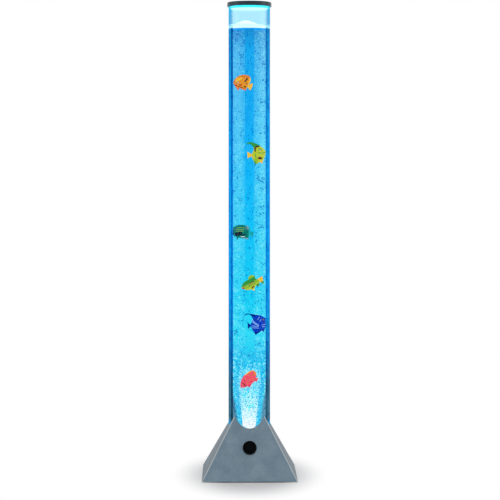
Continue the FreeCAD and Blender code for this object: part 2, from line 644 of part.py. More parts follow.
HOSE_CORNER = "(hose_level + hose_bend)"
hose = new_body("nozzle_hose")
route = new_sketch(hose, role="XZ_Plane")
bend, level, top = number("hose_bend"), number("hose_level"), number(NOZZLE_END)
drop_line = route.addGeometry(Part.LineSegment(Vector(0, top, 0), Vector(0, level + bend, 0)))
bend_circle = Part.Circle(Vector(bend, level + bend, 0), Vector(0, 0, 1), bend)
bend_arc = route.addGeometry(Part.ArcOfCircle(bend_circle, math.pi, 1.5 * math.pi))
valve_end = Vector(number("valve_place"), level, 0)
level_line = route.addGeometry(Part.LineSegment(Vector(bend, level, 0), valve_end))
fix_point(route, drop_line, 1, "0", NOZZLE_END)
fix_point(route, drop_line, 2, "0", HOSE_CORNER)
bend_place = route.addConstraint(Sketcher.Constraint("DistanceX", -1, 1, bend_arc, 3, bend))
bind(route, f"Constraints[{bend_place}]", "hose_bend")
fix_point(route, level_line, 2, "valve_place", "hose_level")
fix_point(route, level_line, 1, "hose_bend", "hose_level")
route.addConstraint(Sketcher.Constraint("Coincident", drop_line, 2, bend_arc, 1))
route.addConstraint(Sketcher.Constraint("Coincident", bend_arc, 2, level_line, 1))
hose_profile = new_sketch(hose, NOZZLE_END)
add_circle(hose_profile, "hose_outer / 2")
add_circle(hose_profile, "hose_bore / 2")
sweep = hose.newObject("PartDesign::AdditivePipe", "hose_sweep")
sweep.Profile = hose_profile
sweep.Spine = (route, ["Edge1", "Edge2", "Edge3"])
document.recompute()


def level_part(label, near, height):
    """A body whose Z axis lies level, along +X, starting at a distance from the tube's axis."""
    body = document.addObject("PartDesign::Body", label)
    body.Label = label
    body.Placement = Placement(Vector(), Rotation(Vector(0, 1, 0), 90))
    bind(body, "Placement.Base.x", near)
    bind(body, "Placement.Base.z", height)
    return body


BAND_LOW = "(valve_length / 2 - valve_band / 2)"
BAND_TOP = "(valve_length / 2 + valve_band / 2)"
VALVE_RADIUS = "(valve_width / 2 - valve_step)"
spin(level_part("check_valve", "valve_place", "hose_level"), [
    ("0", "-barb_length"), (BARB_RADIUS, "-barb_length"), (BARB_RADIUS, "0"), (VALVE_RADIUS, "0"),
    (VALVE_RADIUS, BAND_LOW), ("valve_width / 2", BAND_LOW), ("valve_width / 2", BAND_TOP),
    (VALVE_RADIUS, BAND_TOP), (VALVE_RADIUS, "valve_length"), (BARB_RADIUS, "valve_length"),
    (BARB_RADIUS, "valve_length + barb_length"), ("0", "valve_length + barb_length"),
])

short_hose = level_part("pump_hose", "valve_place + valve_length", "hose_level")
short_sketch = new_sketch(short_hose)
add_circle(short_sketch, "hose_outer / 2")
add_circle(short_sketch, "hose_bore / 2")
pad(short_hose, short_sketch, f"{PUMP_FACE} - valve_place - valve_length")

AT_PUMP = ("pump_place", "0", "0")
pump_head = new_body("pump_head", AT_PUMP)
head_sketch = new_sketch(pump_head, PUMP_LOW)
add_rectangle(head_sketch, "head_side / 2", "head_depth / 2")
pad(pump_head, head_sketch, "head_side")
outlet = new_sketch(pump_head, "-head_side / 2", role="YZ_Plane")
add_circle(outlet, BARB_RADIUS, "0", "hose_level")
pad(pump_head, outlet, "barb_length", down=True)

motor = new_body("pump_motor", AT_PUMP)
motor_sketch = new_sketch(motor, "-head_depth / 2", role="XZ_Plane")
add_circle(motor_sketch, "motor_width / 2", "0", PUMP_AXIS)
pad(motor, motor_sketch, "motor_length", down=True)

cushion = new_body("pump_pad", AT_PUMP)
cushion_sketch = new_sketch(cushion, PLATE_TOP)
add_rectangle(cushion_sketch, "head_side / 2", "head_depth / 2")
pad(cushion, cushion_sketch, "pump_lift")

strap = new_body("pump_strap", ("pump_place", STRAP_Y, "0"))
for half, rise in ((f"{STRAP_OUTER} + strap_foot", f"{PLATE_TOP} + strap_wall"), (STRAP_OUTER, PUMP_AXIS)):
    strap_sketch = new_sketch(strap, role="XZ_Plane")
    add_polygon(strap_sketch, [
        (f"-({half})", PLATE_TOP), (half, PLATE_TOP), (half, rise), (f"-({half})", rise),
    ])
    pad(strap, strap_sketch, "strap_width", symmetric=True)
strap_arch = new_sketch(strap, role="XZ_Plane")
add_circle(strap_arch, STRAP_OUTER, "0", PUMP_AXIS)
pad(strap, strap_arch, "strap_width", symmetric=True)
under = new_sketch(strap, "-strap_width / 2", role="XZ_Plane")
add_circle(under, STRAP_INNER, "0", PUMP_AXIS)
cut(strap, under, "strap_width")
between = new_sketch(strap, "-strap_width / 2", role="XZ_Plane")
add_polygon(between, [
    (f"-{STRAP_INNER}", PLATE_TOP), (STRAP_INNER, PLATE_TOP),
    (STRAP_INNER, PUMP_AXIS), (f"-{STRAP_INNER}", PUMP_AXIS),
])
cut(strap, between, "strap_width")
drill(strap, PASSAGE, PLATE_TOP, "strap_wall", [(f"-{STRAP_SCREW}", "0"), (STRAP_SCREW, "0")])
screws("strap_screws", AT_STRAP, f"{PLATE_TOP} + strap_wall", "foot_height")

# -------------------------------------------------------- light ring under the tube's floor

light_ring = ring("led_board", LED_RADIUS, "led_hole / 2", LED_LOW, "board_thick")
drill(light_ring, PASSAGE, LED_LOW, "board_thick", AT_SPACERS)

leds = new_body("led_lamps")
led_sketch = new_sketch(leds, LED_TOP)
add_rectangle(led_sketch, "led_side / 2", "led_side / 2", "led_ring")
around(leds, [pad(leds, led_sketch, "led_thick")], "led_count")

spacers = new_body("led_spacers")
spacer_sketch = new_sketch(spacers, LED_TOP)
for across, up in AT_SPACERS:
    add_circle(spacer_sketch, "spacer_width / 2", across, up)
    add_circle(spacer_sketch, PASSAGE, across, up)
pad(spacers, spacer_sketch, "spacer_height")
screws("led_screws", AT_SPACERS, LED_LOW, CRADLE_TOP)

# -------------------------------------------------------- control board

AT_CONTROL = ("0", BOARD_PLACE, "0")
AT_CORNERS = four(BOARD_X, BOARD_Y)
control = new_body("control_board", AT_CONTROL)
control_sketch = new_sketch(control, BOARD_LOW)
add_rectangle(control_sketch, "board_length / 2", "board_width / 2")
pad(control, control_sketch, "board_thick")
drill(control, PASSAGE, BOARD_LOW, "board_thick", AT_CORNERS)

board_spacers = new_body("board_spacers", AT_CONTROL)
board_spacer_sketch = new_sketch(board_spacers, PLATE_TOP)
for across, up in AT_CORNERS:
    add_circle(board_spacer_sketch, "spacer_width / 2", across, up)
    add_circle(board_spacer_sketch, PASSAGE, across, up)
pad(board_spacers, board_spacer_sketch, "board_lift")
screws("board_screws", AT_CORNERS, BOARD_TOP, "foot_height", AT_CONTROL)

# A chip, a coil, and connectors for power, light ring, pump and button: half sizes, height and place on the
# board.
COMPONENTS = [
    (5, 5, 1.6, -4, -4), (6, 6, 5, 12, 4), (4, 3, 6, 0, 13), (5, 3, 6, -16, -13), (4, 3, 6, 10, -13),
]
components = new_body("board_components", AT_CONTROL)
for half_long, half_wide, tall, across, up in COMPONENTS:
    component_sketch = new_sketch(components, BOARD_TOP)
    add_rectangle(component_sketch, str(half_long), str(half_wide), str(across), str(up))
    pad(components, component_sketch, str(tall))

# -------------------------------------------------------- power inlet on the rear face

AT_JACK = ("0", REAR_Y, "jack_height")
jack = new_body("power_jack", AT_JACK, REAR_TILT)
spin(jack, [
    ("0", "-jack_depth"), ("jack_width / 2", "-jack_depth"), ("jack_width / 2", "0"),
    ("jack_flange / 2", "0"), ("jack_flange / 2", "jack_rim"), ("jack_bore / 2", "jack_rim"),
    ("jack_bore / 2", "jack_rim - jack_reach"), ("jack_pin / 2", "jack_rim - jack_reach"),
    ("jack_pin / 2", "0"), ("0", "0"),
])
ring("jack_nut", "jack_flange / 2", "jack_width / 2 + fit_gap", "-housing_wall - jack_nut", "jack_nut",
     AT_JACK, REAR_TILT)

# -------------------------------------------------------- push button on the front face

BEZEL_BORE = "(button_width / 2 + button_gap)"
spin(new_body("button_bezel", AT_BUTTON, FRONT_TILT), [
    (BEZEL_BORE, "-bezel_depth"), ("bezel_barrel / 2", "-bezel_depth"), ("bezel_barrel / 2", "0"),
    ("bezel_outer / 2", "0"), ("bezel_outer / 2", "bezel_proud - bezel_bevel"),
    ("bezel_outer / 2 - bezel_bevel", "bezel_proud"), (f"{BEZEL_BORE} + bezel_bevel / 2", "bezel_proud"),
    (BEZEL_BORE, "bezel_proud - bezel_bevel / 2"),
])
ring("bezel_nut", "ring_nut / 2", "bezel_barrel / 2 + fit_gap", "-bezel_depth", "bezel_depth - housing_wall",
     AT_BUTTON, FRONT_TILT)
spin(new_body("button_plunger", AT_BUTTON, FRONT_TILT), [
    ("0", f"-{PUSHER_END}"), ("pusher_width / 2", f"-{PUSHER_END}"), ("pusher_width / 2", f"-{RIM_LOW}"),
    ("rim_width / 2", f"-{RIM_LOW}"), ("rim_width / 2", f"-{RIM_TOP}"), ("button_width / 2", f"-{RIM_TOP}"),
    ("button_width / 2", "button_proud - bezel_bevel"), ("button_width / 2 - bezel_bevel", "button_proud"),
    ("0", "button_proud"),
])
switch = new_body("push_switch", AT_BUTTON, FRONT_TILT)
switch_sketch = new_sketch(switch, f"-{SWITCH_LOW}")
add_rectangle(switch_sketch, "switch_side / 2", "switch_side / 2")
pad(switch, switch_sketch, "switch_thick")
drill(switch, "switch_bore / 2", f"-{PUSHER_END} - press_travel - stop_gap", "press_travel * 2",
      [("0", "0")])

switch_board = new_body("switch_board", AT_BUTTON, FRONT_TILT)
switch_board_sketch = new_sketch(switch_board, f"-{SWITCH_LOW} - board_thick")
add_rectangle(switch_board_sketch, "switch_long / 2", "switch_wide / 2")
pad(switch_board, switch_board_sketch, "board_thick")
drill(switch_board, "small_screw / 2 + pass_gap / 2", f"-{SWITCH_LOW} - board_thick", "board_thick",
      AT_POSTS)
screws("switch_screws", AT_POSTS, f"-{SWITCH_LOW} - board_thick", f"-{SWITCH_LOW} + screw_bite / 2",
       AT_BUTTON, FRONT_TILT, "small_screw / 2", "small_head / 2")


# -------------------------------------------------------- fish

# The fish's top and end views run this much past its side view, so that its nose and back stay blunt.
END_MARGIN = 1


def lens_prism(first, last, high, low, corner, long_way, up_way, run):
    """A prism with a pointed oval section: two arcs between two tips, run square to the section."""
    tip = corner + long_way * last
    root = corner + long_way * first
    middle = corner + long_way * ((first + last) / 2)
    upper = Part.Arc(root, middle + up_way * high, tip).toShape()
    lower = Part.Arc(tip, middle - up_way * low, root).toShape()
    return Part.Face(Part.Wire([upper, lower])).extrude(run)


def fin_plate(points, length, thick):
    """Fins and tail as one thin plate; a point with a third item is the middle of an arc."""
    places = [Vector(point[0] * length, -thick / 2, point[1] * length) for point in points]
    edges = []
    for place, point in enumerate(points):
        following = (place + 1) % len(points)
        if len(point) == 3:
            edges.append(Part.Arc(places[place - 1], places[place], places[following]).toShape())
        elif len(points[following]) == 2:
            edges.append(Part.LineSegment(places[place], places[following]).toShape())
    return Part.Face(Part.Wire(edges)).extrude(Vector(0, thick, 0))


def fish(name):
    """A moulded fish: a body bulged in all three views, on the plate of its fins."""
    size = {word: number(f"{name}_{word}") for word in FISH_WORDS}
    length, back, belly, thick = size["length"], size["back"], size["belly"], size["thick"]
    ahead, aside, upward = Vector(1, 0, 0), Vector(0, 1, 0), Vector(0, 0, 1)
    side_view = lens_prism(-length / 2, length / 2, back, belly,
                           aside * -thick, ahead, upward, aside * thick * 2)
    tall = back + belly
    top_view = lens_prism(-length / 2 - END_MARGIN, length / 2 + END_MARGIN, thick / 2, thick / 2,
                          upward * -tall, ahead, aside, upward * tall * 2)
    end_view = lens_prism(-belly - END_MARGIN, back + END_MARGIN, thick / 2, thick / 2,
                          ahead * -length, upward, aside, ahead * length * 2)
    bulk = side_view.common(top_view).common(end_view)
    shape = bulk.fuse(fin_plate(FIN_OUTLINES[name], length, number("fin_thick")))
    item = document.addObject("Part::Feature", name)
    item.Label = name
    item.Shape = shape.Solids[0] if len(shape.Solids) == 1 else shape
    turn = Rotation(Vector(0, 0, 1), size["turn"])
    nose_up = Rotation(Vector(0, 1, 0), -size["pitch"])
    item.Placement = Placement(Vector(size["across"], size["depth"], size["height"]), turn.multiply(nose_up))


for fish_name in FISH:
    fish(fish_name)

# -------------------------------------------------------- checks and files

NODES = [
    "base_housing", "base_plate", "rubber_feet", "plate_screws", "tube_cradle", "cradle_screws",
    "tube_cushion", "tube_floor", "clear_tube", "cap_shell", "cap_liner", "air_nozzle", "nozzle_seal",
    "nozzle_nut", "nozzle_hose", "check_valve", "pump_hose", "pump_head", "pump_motor", "pump_pad",
    "pump_strap", "strap_screws", "led_board", "led_lamps", "led_spacers", "led_screws",
    "control_board", "board_spacers", "board_screws", "board_components", "power_jack", "jack_nut",
    "button_bezel", "bezel_nut", "button_plunger", "push_switch", "switch_board", "switch_screws",
] + list(FISH)

document.recompute()
for item in document.Objects:
    if "Invalid" in item.State or "Error" in item.State:
        raise RuntimeError(f"{item.Label} did not recompute")

os.makedirs("parts", exist_ok=True)
for node in NODES:
    item = document.getObjectsByLabel(node)[0]
    if item.Shape.isNull() or not item.Shape.isValid() or not item.Shape.Solids:
        raise RuntimeError(f"{node} has no valid solid")
for node in NODES:
    item = document.getObjectsByLabel(node)[0]
    item.Shape.exportStep(f"parts/{node}.step")
    box = item.Shape.BoundBox
    print(f"{node}: {len(item.Shape.Solids)} solids, {item.Shape.Volume / 1000:.2f} cm3, "
          f"x {box.XMin:.1f}..{box.XMax:.1f} y {box.YMin:.1f}..{box.YMax:.1f} "
          f"z {box.ZMin:.1f}..{box.ZMax:.1f}")
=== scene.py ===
import math

import bmesh
import bpy
from mathutils import Euler, Matrix, Vector, geometry, noise


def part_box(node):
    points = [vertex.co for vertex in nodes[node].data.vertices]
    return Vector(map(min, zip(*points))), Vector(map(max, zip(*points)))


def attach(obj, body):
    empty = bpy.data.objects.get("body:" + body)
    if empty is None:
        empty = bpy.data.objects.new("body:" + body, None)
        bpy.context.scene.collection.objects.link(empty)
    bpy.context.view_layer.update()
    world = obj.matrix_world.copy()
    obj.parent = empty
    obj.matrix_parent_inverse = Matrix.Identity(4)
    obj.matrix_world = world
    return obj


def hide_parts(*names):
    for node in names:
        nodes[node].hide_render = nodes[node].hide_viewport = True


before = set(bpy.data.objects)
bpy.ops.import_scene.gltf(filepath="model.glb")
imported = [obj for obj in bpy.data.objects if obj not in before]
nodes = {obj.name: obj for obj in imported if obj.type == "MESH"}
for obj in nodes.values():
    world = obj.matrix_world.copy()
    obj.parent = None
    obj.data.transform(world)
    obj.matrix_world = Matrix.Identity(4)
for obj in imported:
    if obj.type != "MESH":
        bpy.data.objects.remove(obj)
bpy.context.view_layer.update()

# ---------------------------------------------------------------- view and white studio
# A level camera at about two thirds of the lamp's height, far enough off that the tube's sides stay
# parallel. The horizon lies above the middle of the picture, so the lens is shifted and never tipped.

EYE_HEIGHT = 0.773
EYE_DISTANCE = 4.10
EYE_LEFT = 0.05
camera_data = bpy.data.cameras.new("photo_camera")
camera_data.sensor_width = 36
camera_data.lens = 120.0
camera_data.shift_x = 0.0014
camera_data.shift_y = -0.1812
camera = bpy.data.objects.new("photo_camera", camera_data)
camera.location = (-EYE_LEFT, -EYE_DISTANCE, EYE_HEIGHT)
camera.rotation_euler = Euler((math.radians(90), 0, -math.atan2(EYE_LEFT, EYE_DISTANCE)))
bpy.context.collection.objects.link(camera)
bpy.context.scene.camera = camera
bpy.context.scene.view_settings.view_transform = "Standard"


def put(tree, socket, value):
    """Gives an input a number, a colour, a vector or another node's output."""
    if isinstance(value, tuple) and socket.type == "RGBA":
        socket.default_value = (*value, 1)
    elif isinstance(value, (int, float, tuple)):
        socket.default_value = value
    else:
        tree.links.new(value, socket)


def put_all(tree, sockets, values):
    for socket, value in zip(sockets, values):
        put(tree, socket, value)


def set_inputs(tree, node, **values):
    """Sets a node's inputs by name, such as Emission_Strength=1.0."""
    for label, value in values.items():
        put(tree, node.inputs[label.replace("_", " ")], value)


def add_node(tree, kind, **values):
    """Adds a node with inputs set by name and returns its outputs."""
    node = tree.nodes.new(kind)
    set_inputs(tree, node, **values)
    return node.outputs


def math_node(tree, operation, *values):
    """One step of arithmetic on numbers and sockets."""
    node = tree.nodes.new("ShaderNodeMath")
    node.operation = operation
    put_all(tree, node.inputs, values)
    return node.outputs[0]


def times(tree, first, second):
    return math_node(tree, "MULTIPLY", first, second)


def mix_shaders(tree, amount, first, second):
    node = tree.nodes.new("ShaderNodeMixShader")
    put_all(tree, node.inputs, (amount, first, second))
    return node.outputs[0]


def smooth_step(tree, value, start, stop):
    """0 below start, 1 above stop, and a soft rise between them."""
    node = tree.nodes.new("ShaderNodeMapRange")
    node.interpolation_type = "SMOOTHSTEP"
    set_inputs(tree, node, Value=value, From_Min=start, From_Max=stop)
    return node.outputs["Result"]


def object_point(tree):
    """The surface point in the object's own space."""
    return add_node(tree, "ShaderNodeTexCoord")["Object"]


def weighted_distance(tree, weights):
    """The surface point's distance from the object's origin, after weighting its X, Y and Z."""
    weighted, length = (tree.nodes.new("ShaderNodeVectorMath") for _ in range(2))
    weighted.operation, length.operation = "MULTIPLY", "LENGTH"
    put_all(tree, weighted.inputs, (object_point(tree), weights))
    tree.links.new(weighted.outputs[0], length.inputs[0])
    return length.outputs["Value"]


def sees_background(tree):
    """1 for rays that show the white background: straight ones, mirrored ones and those through the tube."""
    path = add_node(tree, "ShaderNodeLightPath")
    straight_or_mirrored = math_node(tree, "MAXIMUM", path["Is Camera Ray"], path["Is Glossy Ray"])
    return math_node(tree, "MAXIMUM", straight_or_mirrored, path["Is Transmission Ray"])


def feed(finish, **values):
    """Sets inputs of a material's main shader by name, as plain values or sockets."""
    set_inputs(finish.node_tree, finish.node_tree.nodes["Principled BSDF"], **values)


def new_finish(name, **values):
    """A material whose main shader has inputs set by name, such as Roughness=0.4."""
    finish = bpy.data.materials.new(name)
    finish.use_nodes = True
    feed(finish, **values)
    return finish


def main_shader(tree):
    return tree.nodes["Principled BSDF"].outputs[0]


def mesh_object(name, mesh):
    item = bpy.data.objects.new(name, mesh)
    bpy.context.collection.objects.link(item)
    return item


WHITE_LIGHT = (1.0, 1.0, 1.0)
world = bpy.data.worlds.new("white_studio")
world.use_nodes = True
bpy.context.scene.world = world
sky = world.node_tree
ambient = sky.nodes["Background"]
set_inputs(sky, ambient, Color=WHITE_LIGHT, Strength=0.42)
white = add_node(sky, "ShaderNodeBackground", Color=WHITE_LIGHT, Strength=1.0)
backdrop = mix_shaders(sky, sees_background(sky), ambient.outputs[0], white[0])
sky.links.new(backdrop, sky.nodes["World Output"].inputs["Surface"])

# Matt white paper that fades to the white backdrop in an oval, with the lamp's own shadow round its foot.
FLOOR_HALF = 9.0
FADE_STRETCH = (1.75, 1, 1)
FADE_START, FADE_END = 0.15, 0.345
floor_mesh = bpy.data.meshes.new("studio_floor")
floor_mesh.from_pydata([(x * FLOOR_HALF, y * FLOOR_HALF, 0) for x, y in ((-1, -1), (1, -1), (1, 1), (-1, 1))],
                       [], [(0, 1, 2, 3)])
studio_floor = mesh_object("studio_floor", floor_mesh)
floor_finish = new_finish("white_floor", Base_Color=(0.84, 0.84, 0.84), Roughness=0.85,
                          Specular_IOR_Level=0.1)
tree = floor_finish.node_tree
glow = add_node(tree, "ShaderNodeEmission", Color=WHITE_LIGHT, Strength=1.0)
fade = smooth_step(tree, weighted_distance(tree, FADE_STRETCH), FADE_START, FADE_END)
shown = mix_shaders(tree, fade, main_shader(tree), glow[0])
floor_shader = mix_shaders(tree, sees_background(tree), main_shader(tree), shown)
tree.links.new(floor_shader, tree.nodes["Material Output"].inputs["Surface"])
floor_mesh.materials.append(floor_finish)

# Two broad, slightly warm soft boxes, one each side, and a neutral one overhead and behind, which throws
# the shadow forward. Each has a place, a size, a power and a colour, and all point at the lamp's lower
# half.
SOFT_BOXES = [
    ("left_box", (-3.0, -0.9, 1.5), 1.6, 10, (1.0, 0.86, 0.74)),
    ("right_box", (3.0, -0.7, 1.4), 1.5, 11, (1.0, 0.87, 0.76)),
    ("top_box", (0.0, 0.9, 3.2), 1.4, 30, WHITE_LIGHT),
]
BOXES_AIM = Vector((0, 0, 0.45))
for name, place, size, power, colour in SOFT_BOXES:
    lamp = bpy.data.lights.new(name, "AREA")
    lamp.shape = "SQUARE"
    lamp.size = size
    lamp.energy = power
    lamp.color = colour
    box = bpy.data.objects.new(name, lamp)
    box.location = place
    box.rotation_euler = (BOXES_AIM - Vector(place)).to_track_quat("-Z", "Y").to_euler()
    bpy.context.collection.objects.link(box)


# ---------------------------------------------------------------- base housing
# Moulded shell in the form of a steep square pyramid that runs up into the round tube in four arches. Its
# outside is sprayed a satin slate grey with a fine metallic flake, with a painted highlight a little brighter
# along its sharp edges.

def fine_grain(tree, scale):
    """Fine random grain at a number of grains per metre: a mask for colour and a height for relief."""
    point = object_point(tree)
    coarse = add_node(tree, "ShaderNodeTexNoise", Vector=point, Scale=scale, Detail=4, Roughness=0.7)["Fac"]
    flakes = add_node(tree, "ShaderNodeTexVoronoi", Vector=point, Scale=scale)["Distance"]
    return math_node(tree, "MULTIPLY_ADD", flakes, 0.5, coarse), coarse


def relief(tree, height, strength, distance):
    """A surface normal bumped by a height."""
    return add_node(tree, "ShaderNodeBump", Height=height, Strength=strength, Distance=distance)["Normal"]


def colour_ramp(tree, value, stops):
    """A colour read from (place, colour) stops."""
    node = tree.nodes.new("ShaderNodeValToRGB")
    elements = node.color_ramp.elements
    while len(elements) < len(stops):
        elements.new(1.0)
    for element, (place, colour) in zip(elements, stops):
        element.position = place
        element.color = (*colour, 1)
    put(tree, node.inputs["Fac"], value)
    return node.outputs["Color"]


def mix_colour(tree, amount, first, second, way="MIX"):
    """Blends two colours; each may be a socket or a plain colour."""
    node = tree.nodes.new("ShaderNodeMix")
    node.data_type = "RGBA"
    node.blend_type = way
    put_all(tree, [item for item in node.inputs if item.enabled], (amount, first, second))
    return next(item for item in node.outputs if item.enabled)


def times_colour(tree, first, second):
    return mix_colour(tree, 1.0, first, second, "MULTIPLY")


def add_grain(finish, low, high, scale, bump):
    """Puts fine grain in a finish's colour and relief, and returns its colour."""
    tree = finish.node_tree
    mask, height = fine_grain(tree, scale)
    colour = colour_ramp(tree, mask, [(0.3, low), (0.7, high)])
    feed(finish, Base_Color=colour, Normal=relief(tree, height, bump, 0.0002))
    return colour


def grained(name, low, high, scale, bump, **values):
    finish = new_finish(name, **values)
    add_grain(finish, low, high, scale, bump)
    return finish


def dress(names, finish):
    """Gives carried-over nodes one finish."""
    for name in names:
        node = nodes[name]
        for slot in node.material_slots:
            slot.material = finish
        if not node.material_slots:
            node.data.materials.append(finish)


def object_parts(tree):
    """The X, Y and Z of the surface point."""
    return add_node(tree, "ShaderNodeSeparateXYZ", Vector=object_point(tree))


def slate_finish():
    """Slate metallic spray, cloudy at the scale of a hand, with a painted highlight on the four sloping
    edges.
    """
    finish = new_finish("slate_metallic_paint", Metallic=0.55, Roughness=0.44, Specular_IOR_Level=0.4,
                        Specular_Tint=(0.36, 0.30, 0.27))
    tree = finish.node_tree
    spray = add_grain(finish, (0.036, 0.076, 0.108), (0.215, 0.300, 0.366), 520, 0.5)
    clouds = add_node(tree, "ShaderNodeTexNoise", Vector=object_point(tree), Scale=28, Detail=5)["Fac"]
    cloud_tone = colour_ramp(tree, clouds, [(0.3, (0.80, 0.82, 0.84)), (0.7, (1.08, 1.06, 1.05))])
    place = object_parts(tree)
    across = math_node(tree, "ABSOLUTE", place["X"])
    along = math_node(tree, "ABSOLUTE", place["Y"])
    from_edge = math_node(tree, "ABSOLUTE", math_node(tree, "SUBTRACT", across, along))
    # painted highlight: a pale line along the four sloping edges, where an edge catches the light
    off_edge = smooth_step(tree, from_edge, 0.0006, 0.0026)
    edge_highlight = times(tree, math_node(tree, "SUBTRACT", 1.0, off_edge), 0.75)
    toned = times_colour(tree, spray, cloud_tone)
    feed(finish, Base_Color=mix_colour(tree, edge_highlight, toned, (0.66, 0.70, 0.72)),
         Roughness=math_node(tree, "MULTIPLY_ADD", clouds, 0.16, 0.36))
    return finish


dress(["base_housing"], slate_finish())

# ---------------------------------------------------------------- floor plate, feet and fastenings
# A flat black moulded plate closes the base from below on four screws. Four soft rubber feet are pushed
# into it. All the screws are zinc-plated steel with a low round head.

black_moulding = grained("black_moulding", (0.018, 0.018, 0.020), (0.032, 0.032, 0.035), 1200, 0.3,
                         Roughness=0.55)
black_rubber = grained("black_rubber", (0.012, 0.012, 0.012), (0.026, 0.026, 0.026), 2000, 0.5,
                       Roughness=0.85)
zinc = grained("zinc_plate", (0.55, 0.56, 0.58), (0.72, 0.73, 0.75), 2500, 0.2, Metallic=1.0, Roughness=0.34)
dress(["base_plate", "pump_head", "board_components", "bezel_nut", "push_switch", "power_jack", "nozzle_nut"],
      black_moulding)
dress(["rubber_feet", "tube_cushion", "nozzle_seal", "pump_pad"], black_rubber)
dress(["plate_screws", "cradle_screws", "strap_screws", "led_screws", "board_screws", "switch_screws",
       "jack_nut", "pump_motor", "pump_strap"], zinc)

# ---------------------------------------------------------------- cradle, light ring and air line
# White moulded parts carry the tube and the colour light ring under its clear floor. Milky hose brings the
# air from the pump through a non-return valve to the nozzle. The printed boards are green.

white_moulding = grained("white_moulding", (0.70, 0.72, 0.73), (0.82, 0.84, 0.85), 900, 0.25, Roughness=0.48)
milky_hose = grained("milky_hose", (0.62, 0.66, 0.66), (0.74, 0.78, 0.78), 700, 0.1, Roughness=0.35)
board_green = grained("board_green", (0.015, 0.10, 0.04), (0.03, 0.16, 0.07), 1500, 0.2, Roughness=0.4)
lamp_face = grained("lamp_face", (0.55, 0.85, 0.95), (0.8, 0.97, 1.0), 1500, 0.1, Roughness=0.3,
                    Emission_Color=(0.35, 0.85, 1.0), Emission_Strength=2.0)
dress(["tube_cradle", "led_spacers", "board_spacers", "air_nozzle", "check_valve"], white_moulding)
dress(["nozzle_hose", "pump_hose"], milky_hose)
dress(["led_board", "control_board", "switch_board"], board_green)
dress(["led_lamps"], lamp_face)


# ---------------------------------------------------------------- clear tube and its floor
# A straight length of clear cast acrylic, 102 mm across with a 3 mm wall, stands in the cradle. Its sawn
# ends are flame polished. The wall carries the blue light upwards, so it glows at its edges: a painted glow,
# with painted dark lines of shade beside it. An acrylic disc closes it.

TUBE_RADIUS = (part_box("clear_tube")[1][0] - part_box("clear_tube")[0][0]) / 2
TUBE_WALL = 0.003
BORE_RADIUS = TUBE_RADIUS - TUBE_WALL
TUBE_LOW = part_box("clear_tube")[0][2]
TUBE_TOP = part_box("clear_tube")[1][2]
WATER_TOP = 1.0935
FOAM_RIM = 0.0075
RAMP_HEIGHT = 1.2


def join_rings(work, rings):
    """Faces between neighbouring rings of vertices; a ring of one vertex is a tip."""
    for lower, upper in zip(rings, rings[1:]):
        sides = max(len(lower), len(upper))
        for step in range(sides):
            after = (step + 1) % sides
            if sides == 1:
                continue
            if len(lower) == 1:
                work.faces.new((lower[0], upper[after], upper[step]))
            elif len(upper) == 1:
                work.faces.new((lower[step], lower[after], upper[0]))
            else:
                work.faces.new((lower[step], lower[after], upper[after], upper[step]))


def smooth_object(name, work, sharp_angle=math.pi):
    """An object from worked faces, shaded smooth; edges that bend by more than an angle stay sharp."""
    bmesh.ops.recalc_face_normals(work, faces=work.faces)
    for face in work.faces:
        face.smooth = True
    for edge in work.edges:
        if len(edge.link_faces) == 2 and edge.calc_face_angle(0) > sharp_angle:
            edge.smooth = False
    mesh = bpy.data.meshes.new(name)
    work.to_mesh(mesh)
    work.free()
    return mesh_object(name, mesh)


def lathe(name, outline, segments=192, closed=False):
    """A solid of revolution about the Z axis from (radius, height) points; radius 0 closes on the axis."""
    work = bmesh.new()
    rings = []
    for radius, height in outline:
        if radius == 0:
            rings.append([work.verts.new((0, 0, height))])
            continue
        angles = [2 * math.pi * step / segments for step in range(segments)]
        rings.append([work.verts.new((radius * math.cos(angle), radius * math.sin(angle), height))
                      for angle in angles])
    join_rings(work, rings + rings[:1] if closed else rings)
    return smooth_object(name, work, math.radians(35))


def height_share(tree):
    """The point's height above the floor as a share of the ramps' height."""
    return math_node(tree, "DIVIDE", object_parts(tree)["Z"], RAMP_HEIGHT)


def by_height(tree, stops):
    """A colour that changes with the height above the floor, given in metres."""
    return colour_ramp(tree, height_share(tree), [(height / RAMP_HEIGHT, colour) for height, colour in stops])


def let_light_through(finish, shader_output, tint):
    """Lamp light passes a clear solid straight, so that what is inside it is lit."""
    tree = finish.node_tree
    open_way = add_node(tree, "ShaderNodeBsdfTransparent", Color=tint)
    path = add_node(tree, "ShaderNodeLightPath")
    passed = mix_shaders(tree, path["Is Shadow Ray"], shader_output, open_way[0])
    tree.links.new(passed, tree.nodes["Material Output"].inputs["Surface"])


def speckle(tree, scale, stretch):
    """Fine air in water: a value around a half, low in the middle of each cell and high between cells."""
    point = add_node(tree, "ShaderNodeMapping", Scale=(1, 1, stretch), Vector=object_point(tree))[0]
    cells = add_node(tree, "ShaderNodeTexVoronoi", Vector=point, Scale=scale)["Distance"]
    drift = add_node(tree, "ShaderNodeTexNoise", Vector=point, Scale=scale * 0.3, Detail=3)["Fac"]
    return math_node(tree, "ADD", cells, math_node(tree, "MULTIPLY_ADD", drift, 1.4, -0.7))
